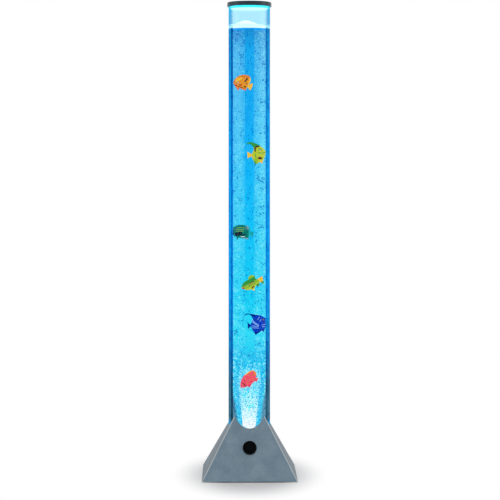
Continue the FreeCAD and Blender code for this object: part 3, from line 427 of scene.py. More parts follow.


# The edge bands' colours by height, painted as glow and shade. From the middle outwards the wall shows a dark
# line of painted shade, the glowing band and a dark outer edge of painted shade. At the foam the band is
# nearly white, and above it paler than in the water.
CLEAR_TINT = (0.97, 0.99, 1.0)
NO_HAZE = (0.03, 0.12, 0.18)
FOAM_GLOW = (0.45, 0.95, 1.0)
SHADE_LINE_STOPS = [
    (0.120, (0.002, 0.30, 0.75)), (0.137, (0.002, 0.03, 0.06)), (0.22, (0.001, 0.05, 0.14)),
    (0.30, (0.001, 0.10, 0.42)), (0.43, (0.001, 0.16, 0.66)), (0.80, (0.001, 0.14, 0.58)),
    (1.09, (0.001, 0.09, 0.36)),
]
BAND_STOPS = [
    (0.122, (0.004, 0.42, 0.88)), (0.138, (0.05, 0.16, 0.24)), (0.22, (0.035, 0.14, 0.24)),
    (0.29, (0.008, 0.20, 0.48)), (0.45, (0.004, 0.33, 0.80)), (0.80, (0.005, 0.34, 0.81)),
    (WATER_TOP - 0.001, (0.012, 0.28, 0.66)), (WATER_TOP, FOAM_GLOW), (WATER_TOP + 0.007, FOAM_GLOW),
    (WATER_TOP + 0.009, (0.07, 0.40, 0.75)), (1.14, (0.03, 0.45, 0.82)), (1.15, (0.01, 0.80, 0.92)),
]
# Where these lie, as how far the wall turns from the eye: 0 at its middle, 1 at its outline.
LINE_MIDDLE = 0.462
LINE_EDGE = (0.038, 0.080)
OUTER_EDGE = (0.86, 0.98)
WET_GLOW = (0.37, 0.40)
DRY_GLOW = (0.38, 0.68)


def tube_finish():
    """Clear acrylic with a painted blue glow and painted dark lines of shade towards its edges, deep in the
    water and pale in the air above it.
    """
    finish = new_finish("clear_acrylic", Roughness=0.0, IOR=1.49, Transmission_Weight=1.0,
                        Specular_Tint=NO_HAZE)
    tree = finish.node_tree
    # painted light: above the water the clear tint turns pale blue, for the glow in the air
    feed(finish, Base_Color=by_height(tree, [(WATER_TOP - 0.004, CLEAR_TINT),
                                             (WATER_TOP + 0.002, (0.66, 0.91, 1.0))]))
    facing = add_node(tree, "ShaderNodeLayerWeight", Blend=0.5)["Facing"]
    shade_line_colour = by_height(tree, SHADE_LINE_STOPS)
    band_colour = by_height(tree, BAND_STOPS)
    from_line = math_node(tree, "ABSOLUTE", math_node(tree, "SUBTRACT", facing, LINE_MIDDLE))
    # the painted shade line is weaker on the right
    right_side = times(tree, smooth_step(tree, object_parts(tree)["X"], -0.01, 0.01), 0.40)
    off_line = math_node(tree, "MAXIMUM", right_side, smooth_step(tree, from_line, *LINE_EDGE))
    banded = mix_colour(tree, off_line, shade_line_colour, band_colour)
    # painted shade: the outermost edge darkens to the line's colour
    outermost = times(tree, smooth_step(tree, facing, *OUTER_EDGE), 0.5)
    rimmed = mix_colour(tree, outermost, banded, shade_line_colour)
    wavy = colour_ramp(tree, speckle(tree, 300, 0.35), [
        (0.12, (0.30, 0.50, 0.68)), (0.40, (1, 1, 1)), (0.66, (1, 1, 1)), (0.86, (1.6, 1.4, 1.2))])
    in_water = math_node(tree, "LESS_THAN", height_share(tree), WATER_TOP / RAMP_HEIGHT)
    glow_colour = mix_colour(tree, in_water, band_colour, times_colour(tree, rimmed, wavy))
    painted_edge_glow = add_node(tree, "ShaderNodeEmission", Color=glow_colour)
    below_foam_top = math_node(tree, "LESS_THAN", height_share(tree), (WATER_TOP + FOAM_RIM) / RAMP_HEIGHT)
    wet = times(tree, smooth_step(tree, facing, *WET_GLOW), below_foam_top)
    dry = times(tree, smooth_step(tree, facing, *DRY_GLOW), 0.95)
    amount = math_node(tree, "MAXIMUM", wet, dry)
    behind = add_node(tree, "ShaderNodeNewGeometry")["Backfacing"]
    front_amount = times(tree, amount, math_node(tree, "SUBTRACT", 1.0, behind))
    glass = mix_shaders(tree, front_amount, main_shader(tree), painted_edge_glow[0])
    let_light_through(finish, glass, CLEAR_TINT)
    return finish


EDGE = 0.0004
tube = lathe("tube_wall", [
    (BORE_RADIUS, TUBE_LOW + EDGE), (BORE_RADIUS + EDGE, TUBE_LOW), (TUBE_RADIUS - EDGE, TUBE_LOW),
    (TUBE_RADIUS, TUBE_LOW + EDGE), (TUBE_RADIUS, TUBE_TOP - EDGE), (TUBE_RADIUS - EDGE, TUBE_TOP),
    (BORE_RADIUS + EDGE, TUBE_TOP), (BORE_RADIUS, TUBE_TOP - EDGE),
], closed=True)
tube.data.materials.append(tube_finish())
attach(tube, "lamp")
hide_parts("clear_tube")
DISC_TINT = (0.93, 0.985, 1.0)
clear_disc = new_finish("clear_disc", Base_Color=DISC_TINT, Roughness=0.02, IOR=1.49, Transmission_Weight=1.0)
let_light_through(clear_disc, main_shader(clear_disc.node_tree), DISC_TINT)
dress(["tube_floor"], clear_disc)


# ---------------------------------------------------------------- water
# Clear water fills the bore to 60 mm under the cap. So much fine air hangs in it, lit blue from below, that
# its far side shows as a wall of speckled light: grey-blue beside the jet, then cyan, and deeper blue
# towards the top.

# The water reaches a hair into the wall, so that no gap shows.
WATER_LOW = TUBE_LOW + 0.0002
WATER_RADIUS = BORE_RADIUS + 0.00005
# Upright streaks round the far wall, and the half width of what the jet lights there, as a size and a
# spread.
BROAD_STREAKS, FINE_STREAKS = 10.0, 29.0
LIT_HALF, LIT_SPREAD = 0.0046, 0.075
DEEP_STOPS = [
    (0.09, (0.06, 0.18, 0.27)), (0.17, (0.03, 0.17, 0.27)), (0.25, (0.006, 0.30, 0.55)),
    (0.29, (0.020, 0.62, 0.90)), (0.345, (0.030, 0.74, 0.93)), (0.43, (0.007, 0.65, 0.93)),
    (0.60, (0.003, 0.56, 0.95)), (0.75, (0.002, 0.48, 0.95)), (0.90, (0.003, 0.41, 0.90)),
    (1.04, (0.004, 0.41, 0.88)), (1.09, (0.006, 0.27, 0.66)),
]
PALE_STOPS = [
    (0.09, (0.11, 0.30, 0.42)), (0.17, (0.10, 0.30, 0.44)), (0.25, (0.03, 0.42, 0.68)),
    (0.29, (0.04, 0.62, 0.92)), (0.34, (0.04, 0.72, 0.94)), (0.45, (0.035, 0.70, 0.94)),
    (0.60, (0.07, 0.70, 0.94)), (0.75, (0.10, 0.67, 0.94)), (0.90, (0.11, 0.62, 0.92)),
    (1.04, (0.12, 0.52, 0.86)), (1.09, (0.06, 0.33, 0.70)),
]
SPARKLE_STOPS = [(0.15, 0.2), (0.22, 0.5), (0.30, 0.8), (0.48, 0.5), (0.75, 0.45), (1.09, 0.4)]
FROTH_STOPS = [(0.08, (0.002, 0.22, 0.55)), (0.30, (0.006, 0.50, 0.86)), (0.62, (0.02, 0.68, 0.94)),
               (0.86, (0.35, 0.92, 1.0))]


def share_by_height(tree, stops):
    """A share that changes with the height above the floor."""
    return by_height(tree, [(height, (share, share, share)) for height, share in stops])


def lit_water(tree, paleness):
    """The colour of lit, bubbling water: paleness runs from the deep to the pale stops."""
    body = mix_colour(tree, paleness, by_height(tree, DEEP_STOPS), by_height(tree, PALE_STOPS))
    grains = speckle(tree, 400, 0.55)
    shade = colour_ramp(tree, grains, [(0.12, (0.06, 0.36, 0.66)), (0.29, (1, 1, 1)), (0.60, (1, 1, 1))])
    brightest = smooth_step(tree, grains, 0.66, 0.92)
    sparkle = times(tree, brightest, share_by_height(tree, SPARKLE_STOPS))
    sparkle = times(tree, sparkle, math_node(tree, "MULTIPLY_ADD", paleness, 1.1, 0.03))
    return mix_colour(tree, sparkle, times_colour(tree, body, shade), (0.28, 0.94, 1.0))


def water_finish():
    """Clear water whose far wall glows, in broad and narrow upright streaks that are palest on the right."""
    finish = new_finish("clear_blue_water", Base_Color=CLEAR_TINT, Roughness=0.0, IOR=1.333,
                        Transmission_Weight=1.0, Specular_Tint=NO_HAZE)
    tree = finish.node_tree
    place = object_parts(tree)
    angle = math_node(tree, "ARCTAN2", place["X"], place["Y"])
    broad = math_node(tree, "COSINE", math_node(tree, "MULTIPLY_ADD", angle, BROAD_STREAKS, -0.26))
    swell = math_node(tree, "MULTIPLY_ADD", broad, -0.5, 0.5)
    to_right = math_node(tree, "MULTIPLY_ADD", place["X"], 9.0, 0.78)
    fine = math_node(tree, "COSINE", math_node(tree, "MULTIPLY_ADD", angle, FINE_STREAKS, 1.1))
    streaks = times(tree, smooth_step(tree, fine, 0.7, 1.0), 0.12)
    paleness = math_node(tree, "MULTIPLY_ADD", swell, to_right, streaks)
    # low down, painted light: the wall over each arch is painted lit cyan by the spreading jet; the rest is
    # painted in the grey-blue shade of the base's dark corners
    from_arch = math_node(tree, "PINGPONG", angle, math.pi / 4)
    sideways = times(tree, math_node(tree, "SINE", from_arch), BORE_RADIUS)
    lit_half = math_node(tree, "MULTIPLY_ADD", place["Z"], LIT_SPREAD, LIT_HALF)
    off_jet = smooth_step(tree, math_node(tree, "SUBTRACT", sideways, lit_half), -0.0016, 0.0012)
    above_jet = smooth_step(tree, place["Z"], 0.27, 0.32)
    jet_glow = math_node(tree, "SUBTRACT", 1.0, math_node(tree, "MAXIMUM", off_jet, above_jet))
    froth_light = colour_ramp(tree, speckle(tree, 520, 0.45), FROTH_STOPS)
    far_colour = mix_colour(tree, jet_glow, lit_water(tree, paleness), froth_light)
    far_side = add_node(tree, "ShaderNodeEmission", Color=far_colour)
    behind = add_node(tree, "ShaderNodeNewGeometry")["Backfacing"]
    shown = mix_shaders(tree, behind, main_shader(tree), far_side[0])
    let_light_through(finish, shown, CLEAR_TINT)
    return finish


water = lathe("water", [(0, WATER_LOW), (WATER_RADIUS, WATER_LOW), (WATER_RADIUS, WATER_TOP), (0, WATER_TOP)])
water.data.materials.append(water_finish())
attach(water, "lamp")


# ---------------------------------------------------------------- rising air
# Air leaves the nozzle as a tight white jet and spreads like an opening flower until it fills the tube.
# Above that a narrow, saturated blue stream of it goes on rising in the middle, to the surface.

# Each profile gives radii at heights.
JET_PROFILE = [(0.0760, 0.0105), (0.117, 0.0120), (0.136, 0.0127), (0.185, 0.0164), (0.217, 0.0184),
               (0.260, 0.0196), (0.300, 0.0202)]
STREAM_PROFILE = [(0.300, 0.0080), (0.650, 0.0076), (1.0925, 0.0080)]
GAP_STOPS = [(0.130, (1.0, 1.0, 1.0)), (0.144, (0.40, 0.97, 0.95)), (0.170, (0.12, 0.92, 0.90)),
             (0.21, (0.02, 0.78, 0.91)), (0.30, (0.01, 0.70, 0.93))]
JET_FROTH_STOPS = [(0.118, 1), (0.14, 0.90), (0.18, 0.60), (0.22, 0.35), (0.30, 0.20)]


def profile_radius(profile, height):
    """The radius at a height, read along straight stretches of a profile."""
    for (low, narrow), (high, wide) in zip(profile, profile[1:]):
        if height <= high:
            return narrow + (wide - narrow) * (height - low) / (high - low)
    return profile[-1][1]


def air_column(name, profile, rings, sides, roughness):
    """A closed column that follows a profile, with a billowing surface."""
    work = bmesh.new()
    low, high = profile[0][0], profile[-1][0]
    made = []
    for row in range(rings + 1):
        height = low + (high - low) * row / rings
        radius = profile_radius(profile, height)
        ring = []
        for side in range(sides):
            angle = 2 * math.pi * side / sides
            spot = Vector((radius * math.cos(angle), radius * math.sin(angle), height))
            billow = (noise.noise(spot * 60) + noise.noise(spot * 420)) * roughness
            grown = 1 + billow / radius
            ring.append(work.verts.new((spot.x * grown, spot.y * grown, height)))
        made.append(ring)
    join_rings(work, made)
    work.faces.new(list(reversed(made[0])))
    work.faces.new(made[-1])
    return smooth_object(name, work)


def glow_with(finish, colour, reflected):
    """Lets a finish glow in a colour and reflect a share of it."""
    base = times_colour(finish.node_tree, colour, (reflected, reflected, reflected))
    feed(finish, Emission_Color=colour, Base_Color=base)


def jet_finish():
    """A painted glow: pure white at the nozzle, white froth over cyan above it, breaking up where it fills
    the tube.
    """
    finish = new_finish("white_air_jet", Roughness=0.7, Specular_IOR_Level=0.0, Emission_Strength=1.0)
    tree = finish.node_tree
    grains = speckle(tree, 420, 0.5)
    froth = times(tree, smooth_step(tree, grains, 0.22, 0.62), share_by_height(tree, JET_FROTH_STOPS))
    glow_with(finish, mix_colour(tree, froth, by_height(tree, GAP_STOPS), (1.0, 1.0, 1.0)), 0.10)
    risen = smooth_step(tree, object_parts(tree)["Z"], 0.160, 0.302)
    thinning = math_node(tree, "MULTIPLY_ADD", risen, -1.35, math_node(tree, "ADD", grains, 0.3))
    feed(finish, Alpha=smooth_step(tree, thinning, 0.0, 0.10))
    return finish


def stream_finish():
    """The saturated blue middle of the column, a painted glow."""
    finish = new_finish("blue_air_stream", Roughness=0.7, Specular_IOR_Level=0.0, Emission_Strength=0.96)
    tree = finish.node_tree
    slow = add_node(tree, "ShaderNodeTexNoise", Vector=object_point(tree), Scale=45)["Fac"]
    glow_with(finish, lit_water(tree, times(tree, slow, 0.06)), 0.05)
    return finish


jet = air_column("air_jet", JET_PROFILE, rings=130, sides=100, roughness=0.0007)
jet.data.materials.append(jet_finish())
stream = air_column("air_stream", STREAM_PROFILE, rings=420, sides=48, roughness=0.0009)
stream.data.materials.append(stream_finish())
for piece in (jet, stream):
    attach(piece, "lamp")

# ---------------------------------------------------------------- bubbles
# Bubbles of 0.6 to 2.2 mm rise as spray and froth round the jet, between the stream and the fish, and all
# over the back of the column. They are scattered by a rule, mostly thicker low down, and flattened as
# rising bubbles are.

SWARM_NUMBERS = ("Inner", "Outer", "First Angle", "Last Angle", "Low", "High", "Crowding", "Flare",
                 "Smallest", "Largest")
SEED_STEP = 17.0
SQUATNESS = 0.8


def bubble_tree():
    """Balls scattered between two radii, two angles and two heights. A crowding over one puts more of them
    low down, one under it more of them high up, and a flare widens the swarm with height."""
    group = bpy.data.node_groups.new("bubble_scatter", "GeometryNodeTree")
    face = group.interface
    face.new_socket("Geometry", in_out="OUTPUT", socket_type="NodeSocketGeometry")
    kinds = {"Count": "Int", "Seed": "Int", **dict.fromkeys(SWARM_NUMBERS, "Float"), "Material": "Material"}
    for label, kind in kinds.items():
        face.new_socket(label, in_out="INPUT", socket_type="NodeSocket" + kind)
    given = add_node(group, "NodeGroupInput")
    draws = []

    def between(low, high, power=1.0):
        """A random value between two sockets; a power over one crowds it towards the low end."""
        draws.append(low)
        draw = group.nodes.new("FunctionNodeRandomValue")
        draw.data_type = "FLOAT"
        seed = math_node(group, "ADD", given["Seed"], SEED_STEP * len(draws))
        group.links.new(seed, [item for item in draw.inputs if item.enabled][-1])
        share = math_node(group, "POWER", next(item for item in draw.outputs if item.enabled), power)
        return math_node(group, "MULTIPLY_ADD", share, math_node(group, "SUBTRACT", high, low), low)

    angle = between(given["First Angle"], given["Last Angle"])
    first_radius = between(given["Inner"], given["Outer"])
    height = between(given["Low"], given["High"], given["Crowding"])
    size = between(given["Smallest"], given["Largest"])
    climbed = math_node(group, "DIVIDE", math_node(group, "SUBTRACT", height, given["Low"]),
                        math_node(group, "SUBTRACT", given["High"], given["Low"]))
    widened = math_node(group, "MULTIPLY_ADD", climbed, given["Flare"], 1.0)
    radius = times(group, first_radius, widened)
    across = times(group, radius, math_node(group, "COSINE", angle))
    along = times(group, radius, math_node(group, "SINE", angle))
    place = add_node(group, "ShaderNodeCombineXYZ", X=across, Y=along, Z=height)[0]
    points = add_node(group, "GeometryNodePoints", Count=given["Count"], Position=place)[0]
    ball = add_node(group, "GeometryNodeMeshUVSphere", Segments=8, Rings=5, Radius=1.0)["Mesh"]
    smooth = add_node(group, "GeometryNodeSetShadeSmooth", Geometry=ball)[0]
    squat = times(group, size, SQUATNESS)
    scale = add_node(group, "ShaderNodeCombineXYZ", X=size, Y=size, Z=squat)[0]
    scatter = add_node(group, "GeometryNodeInstanceOnPoints", Points=points, Instance=smooth, Scale=scale)[0]
    solid = add_node(group, "GeometryNodeRealizeInstances", Geometry=scatter)[0]
    painted = add_node(group, "GeometryNodeSetMaterial", Geometry=solid, Material=given["Material"])[0]
    group.links.new(painted, group.nodes.new("NodeGroupOutput").inputs["Geometry"])
    return group


def grow(name, tree, values):
    """Runs a geometry tree with inputs given by name and keeps the result as a plain mesh."""
    holder = mesh_object(name, bpy.data.meshes.new(name))
    modifier = holder.modifiers.new("grow", "NODES")
    modifier.node_group = tree
    for item in tree.interface.items_tree:
        if item.in_out == "INPUT":
            modifier[item.identifier] = values[item.name]
    bpy.context.view_layer.update()
    shape = holder.evaluated_get(bpy.context.evaluated_depsgraph_get())
    mesh = bpy.data.meshes.new_from_object(shape)
    holder.modifiers.remove(modifier)
    holder.data = mesh
    mesh.name = name
    return holder


def bubble_finish(name, dark_below, middle, pale_above, pale):
    """Air in blue water, painted as glow: by a noise, some bubbles are painted catching the light and the
    rest as darker blue beads in painted shade.
    """
    finish = new_finish(name, Roughness=0.15, Specular_IOR_Level=0.08, Emission_Strength=0.92)
    tree = finish.node_tree
    fate = add_node(tree, "ShaderNodeTexNoise", Vector=object_point(tree), Scale=300)["Fac"]
    glow_with(finish, colour_ramp(tree, fate, [
        (dark_below, (0.0, 0.20, 0.60)), (middle, (0.008, 0.56, 0.92)), (pale_above, pale)]), 0.1)
    return finish


bubble_scatter = bubble_tree()
bubble_skin = bubble_finish("bubble_skin", 0.38, 0.48, 0.68, (0.26, 0.92, 1.0))
froth_skin = bubble_finish("froth_skin", 0.38, 0.50, 0.68, (0.22, 0.90, 0.96))
spray_skin = bubble_finish("spray_skin", 0.26, 0.40, 0.58, (0.62, 1.0, 0.98))
ALL_ROUND = (math.radians(0), math.radians(360))
REAR_HALF = (math.radians(3), math.radians(177))
# Each swarm: its finish, how many, then the numbers named above, in metres and radians. Sizes are radii.
SWARMS = [
    ("jet_spray", spray_skin, 1900,
     0.0110, 0.0165, *ALL_ROUND, 0.138, 0.236, 0.8, 0.36, 0.0005, 0.0010),
    ("froth_sheath", froth_skin, 2900,
     0.0170, 0.0200, *ALL_ROUND, 0.105, 0.236, 0.62, 0.42, 0.0005, 0.0011),
    ("froth_crown", froth_skin, 1300,
     0.0130, 0.0280, *ALL_ROUND, 0.225, 0.300, 1.4, 0.0, 0.0004, 0.0009),
    ("inner_bubbles", bubble_skin, 1500,
     0.0100, 0.0192, *ALL_ROUND, 0.300, 1.088, 1.3, 0.0, 0.0003, 0.0009),
    ("rear_bubbles_low", bubble_skin, 2000,
     0.0210, 0.0455, *REAR_HALF, 0.200, 0.640, 1.2, 0.0, 0.0003, 0.0010),
    ("rear_bubbles_high", bubble_skin, 1600,
     0.0210, 0.0455, *REAR_HALF, 0.600, 1.088, 1.0, 0.0, 0.0003, 0.0009),
]
for seed, (name, skin, count, *numbers) in enumerate(SWARMS, start=3):
    swarm = grow(name, bubble_scatter, {
        "Count": count, "Seed": seed, "Material": skin, **dict(zip(SWARM_NUMBERS, numbers))})
    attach(swarm, "lamp")

# ---------------------------------------------------------------- foam
# A low white head of foam floats on the water where the air breaks the surface, highest just left of the
# middle and falling away to a thin rim at the wall.

FOAM_BASE = WATER_TOP - 0.001
FOAM_RINGS, FOAM_SIDES = 34, 120
FOAM_RADIUS = BORE_RADIUS - 0.0006
MOUND_HEIGHT = 0.0130
MOUND_WIDTH = 0.027
MOUND_LEFT = 0.008


def foam_height(across, along):
    """The foam's top over a point: a mound on a thin shelf, roughened by its bubbles."""
    mound = math.exp(-((across + MOUND_LEFT) ** 2 + along ** 2) / MOUND_WIDTH ** 2)
    fine = noise.noise(Vector((across, along, 0)) * 260) * 0.0013
    broad = noise.noise(Vector((across, along, 3)) * 90) * 0.0018
    return WATER_TOP + FOAM_RIM + MOUND_HEIGHT * mound + (fine + broad)


work = bmesh.new()
foam_rings = [[work.verts.new((0, 0, foam_height(0, 0)))]]
for row in range(1, FOAM_RINGS + 1):
    radius = FOAM_RADIUS * row / FOAM_RINGS
    ring = []
    for side in range(FOAM_SIDES):
        turn = 2 * math.pi * side / FOAM_SIDES
        across, along = radius * math.cos(turn), radius * math.sin(turn)
        ring.append(work.verts.new((across, along, foam_height(across, along))))
    foam_rings.append(ring)
foam_rings.append([work.verts.new((vert.co.x, vert.co.y, FOAM_BASE)) for vert in foam_rings[-1]])
foam_rings.append([work.verts.new((0, 0, FOAM_BASE))])
join_rings(work, foam_rings)
foam = smooth_object("foam", work)
# the foam glows: painted light of the lamp scattered in it
foam_white = new_finish("foam_white", Roughness=0.6, Emission_Strength=0.62)
tree = foam_white.node_tree
froth_colour = add_grain(foam_white, (0.46, 0.92, 0.96), (1.0, 1.0, 1.0), 420, 0.9)
# painted light: from below, the foam is painted in the blue glow of the water
above_water = smooth_step(tree, object_parts(tree)["Z"], FOAM_BASE + 0.0002, FOAM_BASE + 0.0008)
foam_colour = mix_colour(tree, above_water, (0.006, 0.38, 0.76), froth_colour)
feed(foam_white, Base_Color=foam_colour, Emission_Color=foam_colour)
foam.data.materials.append(foam_white)
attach(foam, "lamp")

# ---------------------------------------------------------------- push button
# Satin black moulded bezel with a rounded edge, clamped to the front face, and a black plunger that stands
# 3 mm out of it with a softly rounded crown. The face leans, so both are made about its normal.

BASE_HALF = (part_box("base_housing")[1][0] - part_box("base_housing")[0][0]) / 2
BASE_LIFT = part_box("base_housing")[0][2]
ARCH_HEIGHT = 0.1193
HOLE_RADIUS = TUBE_RADIUS + 0.0005
LEAN = math.atan((BASE_HALF - HOLE_RADIUS) / (ARCH_HEIGHT - BASE_LIFT))
BUTTON_HEIGHT = 0.076
BUTTON_PLACE = Vector((0, -(BASE_HALF - (BUTTON_HEIGHT - BASE_LIFT) * math.tan(LEAN)), BUTTON_HEIGHT))
TO_FACE = Matrix.Translation(BUTTON_PLACE) @ Matrix.Rotation(math.pi / 2 - LEAN, 4, "X")


def rounded(points, radius, steps=6):
    """Rounds chosen corners of an outline: items are (x, z) or (x, z, True) for a rounded one."""
    result = []
    for place, point in enumerate(points):
        if len(point) == 2:
            result.append(point)
            continue
        here = Vector(point[:2])
        before = (Vector(points[place - 1][:2]) - here).normalized()
        after = (Vector(points[(place + 1) % len(points)][:2]) - here).normalized()
        for step in range(steps + 1):
            share = step / steps
            spot = here + before * radius * (1 - share) ** 2 + after * radius * share ** 2
            result.append((spot.x, spot.y))
    return result


button_black = grained("button_black", (0.0010, 0.0016, 0.0019), (0.003, 0.004, 0.005), 1600, 0.3,
                       Roughness=0.42, Specular_IOR_Level=0.02)
# Radii, then heights over the face.
BEZEL_BORE, BEZEL_BARREL, BEZEL_RIM = 0.0106, 0.0130, 0.0168
BEZEL_END, BEZEL_TOP = -0.0055, 0.005
PLUNGER, FLANGE, STEM = 0.0104, 0.0122, 0.0020
STEM_END, FLANGE_LOW, FLANGE_TOP, SHOULDER, CROWN = -0.0106, -0.0073, -0.0058, 0.0078, 0.008
bezel = lathe("button_surround", rounded([
    (BEZEL_BORE, BEZEL_END), (BEZEL_BARREL, BEZEL_END), (BEZEL_BARREL, 0.0), (BEZEL_RIM, 0.0),
    (BEZEL_RIM, BEZEL_TOP, True), (BEZEL_BORE, BEZEL_TOP, True),
], 0.0022), segments=96, closed=True)
plunger = lathe("button_crown", rounded([
    (0.0, STEM_END), (STEM, STEM_END), (STEM, FLANGE_LOW), (FLANGE, FLANGE_LOW), (FLANGE, FLANGE_TOP),
    (PLUNGER, FLANGE_TOP), (PLUNGER, SHOULDER, True), (0.0, CROWN),
], 0.0020), segments=96)
for piece, body, node in ((bezel, "lamp", "button_bezel"), (plunger, "button", "button_plunger")):
    piece.data.transform(TO_FACE)
    piece.data.materials.append(button_black)
    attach(piece, body)
    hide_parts(node)

# ---------------------------------------------------------------- cap
# A low moulded cap in satin dark slate sits over the tube's end with a skirt 8 mm deep. A white liner under
# it closes the bore and glows cyan in the light from below.

CAP_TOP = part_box("cap_shell")[1][2]
CAP_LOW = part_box("cap_shell")[0][2]
CAP_WALL = 0.003
CAP_INNER = TUBE_RADIUS + 0.0005
CAP_OUTER = CAP_INNER + CAP_WALL
CAP_UNDER = TUBE_TOP + 0.0003
LINER_RADIUS = (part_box("cap_liner")[1][0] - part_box("cap_liner")[0][0]) / 2
cap_slate = grained("cap_slate", (0.010, 0.020, 0.026), (0.020, 0.034, 0.042), 1100, 0.2, Metallic=0.2,
                    Roughness=0.30, Specular_IOR_Level=0.5, Specular_Tint=(0.62, 0.84, 1.0))
cap = lathe("cap_cover", rounded([
    (0.0, CAP_UNDER), (CAP_INNER, CAP_UNDER), (CAP_INNER, CAP_LOW), (CAP_OUTER, CAP_LOW),
    (CAP_OUTER, CAP_TOP, True), (0.0, CAP_TOP),
], 0.0028))
cap.data.materials.append(cap_slate)
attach(cap, "cap")
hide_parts("cap_shell")


def liner_finish():
    """White moulding lit from below: cyan on the outside of its ring, white inside it."""
    finish = grained("liner_white", (0.10, 0.80, 0.85), (0.16, 0.90, 0.93), 700, 0.2, Roughness=0.5,
                     Emission_Strength=0.9)
    tree = finish.node_tree
    from_axis = weighted_distance(tree, (1, 1, 0))
    outside = smooth_step(tree, from_axis, LINER_RADIUS - 0.0016, LINER_RADIUS - 0.0004)
    feed(finish, Emission_Color=mix_colour(tree, outside, (0.92, 1.0, 1.0), (0.02, 0.90, 0.92)))
    return finish


dress(["cap_liner"], liner_finish())

# ---------------------------------------------------------------- loose fish
# Six hollow moulded fish, 45 to 80 mm over their fins, float loose in the water. Each is one moulding: a
# rounded body on a thin plate of ribbed fins, with raised eyes and a gill line, painted by hand over a
# bright colour.

# Each fish in millimetres and degrees: nose to tail root, back and belly from that line, thickness, the
# middle of the line as three numbers, turn and nose-up angle.
FISH = {
    "orange_fish": (35, 22, 10, 9, -20.2, -26, 956, 163.4, 12),
    "yellow_fish": (35, 20, 17, 8, 21.5, -24.5, 787, 14.9, 12.7),
    "teal_fish": (44, 20, 12, 9, -22.8, -19, 592.5, 161.3, 1.2),
    "green_fish": (40, 12, 12, 10, -0.4, -30, 468, 183.3, -29),
    "blue_fish": (43.5, 21, 18, 8, 23, -20, 373.5, 19.3, 15.1),
    "pink_fish": (40, 18, 6, 9, -3.1, -35, 227, 180, -30.8),
}

# Outlines over fins and tail in shares of the fish's length, nose at +0.5 and tail root at -0.5, from the
# nose over the back to the belly. A point with a third item is the middle of an arc between its two
# neighbours.
FISH_OUTLINES = {
    "orange_fish": [
        (0.5, 0), (0.1, 0.64, "arc"), (-0.45, 0.7), (-0.6, 0.46, "arc"), (-0.48, 0.07), (-0.79, 0.25),
        (-0.8, -0.02, "arc"), (-0.72, -0.28), (-0.5, -0.08), (-0.43, -0.36), (0, -0.26), (0.04, -0.46),
        (0.28, -0.21),
    ],
    "yellow_fish": [
        (0.5, 0), (0.3, 0.35, "arc"), (-0.27, 0.88), (-0.52, 0.92, "arc"), (-0.72, 0.81), (-0.46, 0.81),
        (-0.31, 0.6, "arc"), (-0.27, 0.39), (-0.49, 0.07), (-0.73, 0.32), (-0.81, -0.15), (-0.53, -0.06),
        (-0.5, -0.28), (-0.43, -0.69), (-0.07, -0.58), (0.01, -0.73), (0.15, -0.51),
    ],
    "teal_fish": [
        (0.5, 0), (0.2, 0.38, "arc"), (-0.31, 0.45), (-0.56, 0.3, "arc"), (-0.5, 0.05), (-0.65, 0.16),
        (-0.75, -0.05, "arc"), (-0.69, -0.17), (-0.51, -0.05), (-0.53, -0.24, "arc"), (-0.43, -0.33),
        (0, -0.24), (0.05, -0.39), (0.13, -0.19),
    ],
    "green_fish": [
        (0.5, 0), (0.18, 0.26, "arc"), (-0.1, 0.27), (-0.28, 0.46, "arc"), (-0.51, 0.29), (-0.46, 0.15),
        (-0.54, 0.06), (-0.88, 0.1), (-0.82, -0.14, "arc"), (-0.76, -0.42), (-0.57, -0.13), (-0.42, -0.38),
        (-0.28, -0.23), (-0.12, -0.36), (-0.07, -0.5), (0.03, -0.34), (0.3, -0.23),
    ],
    "blue_fish": [
        (0.5, 0), (0.14, 0.39), (-0.46, 0.69), (-0.6, 0.7, "arc"), (-0.74, 0.64), (-0.47, 0.65),
        (-0.34, 0.5, "arc"), (-0.31, 0.33), (-0.5, 0.04), (-0.63, 0.21), (-0.7, -0.15), (-0.51, -0.04),
        (-0.49, -0.26), (-0.41, -0.59), (-0.04, -0.44), (0.03, -0.56), (0.12, -0.44),
    ],
    "pink_fish": [
        (0.5, 0), (0.18, 0.41, "arc"), (-0.33, 0.58), (-0.64, 0.54, "arc"), (-0.58, 0.12), (-0.54, 0.07),
        (-0.7, 0), (-0.47, -0.16), (-0.41, -0.08), (-0.17, -0.12), (0.04, -0.26), (0.1, -0.14), (0.33, -0.1),
    ],
}

WHITE, BLACK = (0.80, 0.86, 0.86), (0.006, 0.006, 0.008)
ORANGE, AMBER = (0.80, 0.27, 0.01), (0.92, 0.47, 0.02)
RED, DEEP_RED = (0.52, 0.012, 0.006), (0.11, 0.004, 0.004)
LEMON, OLIVE = (0.50, 0.52, 0.02), (0.30, 0.44, 0.02)
LEAF, BROWN = (0.035, 0.26, 0.030), (0.07, 0.02, 0.01)
TEAL, MINT, MIST = (0.002, 0.155, 0.115), (0.01, 0.33, 0.30), (0.17, 0.34, 0.38)
ROYAL, NAVY, SKY = (0.002, 0.030, 0.40), (0.001, 0.012, 0.22), (0.36, 0.58, 0.92)
CORAL, ROSE = (0.94, 0.075, 0.115), (0.80, 0.03, 0.07)

# Amber spots with a dark rim on the pink fish.
PINK_SPOTS = [(-0.02, 0.34), (-0.18, 0.17), (-0.38, 0.05), (0.01, 0.06), (-0.34, 0.38), (-0.52, 0.30)]

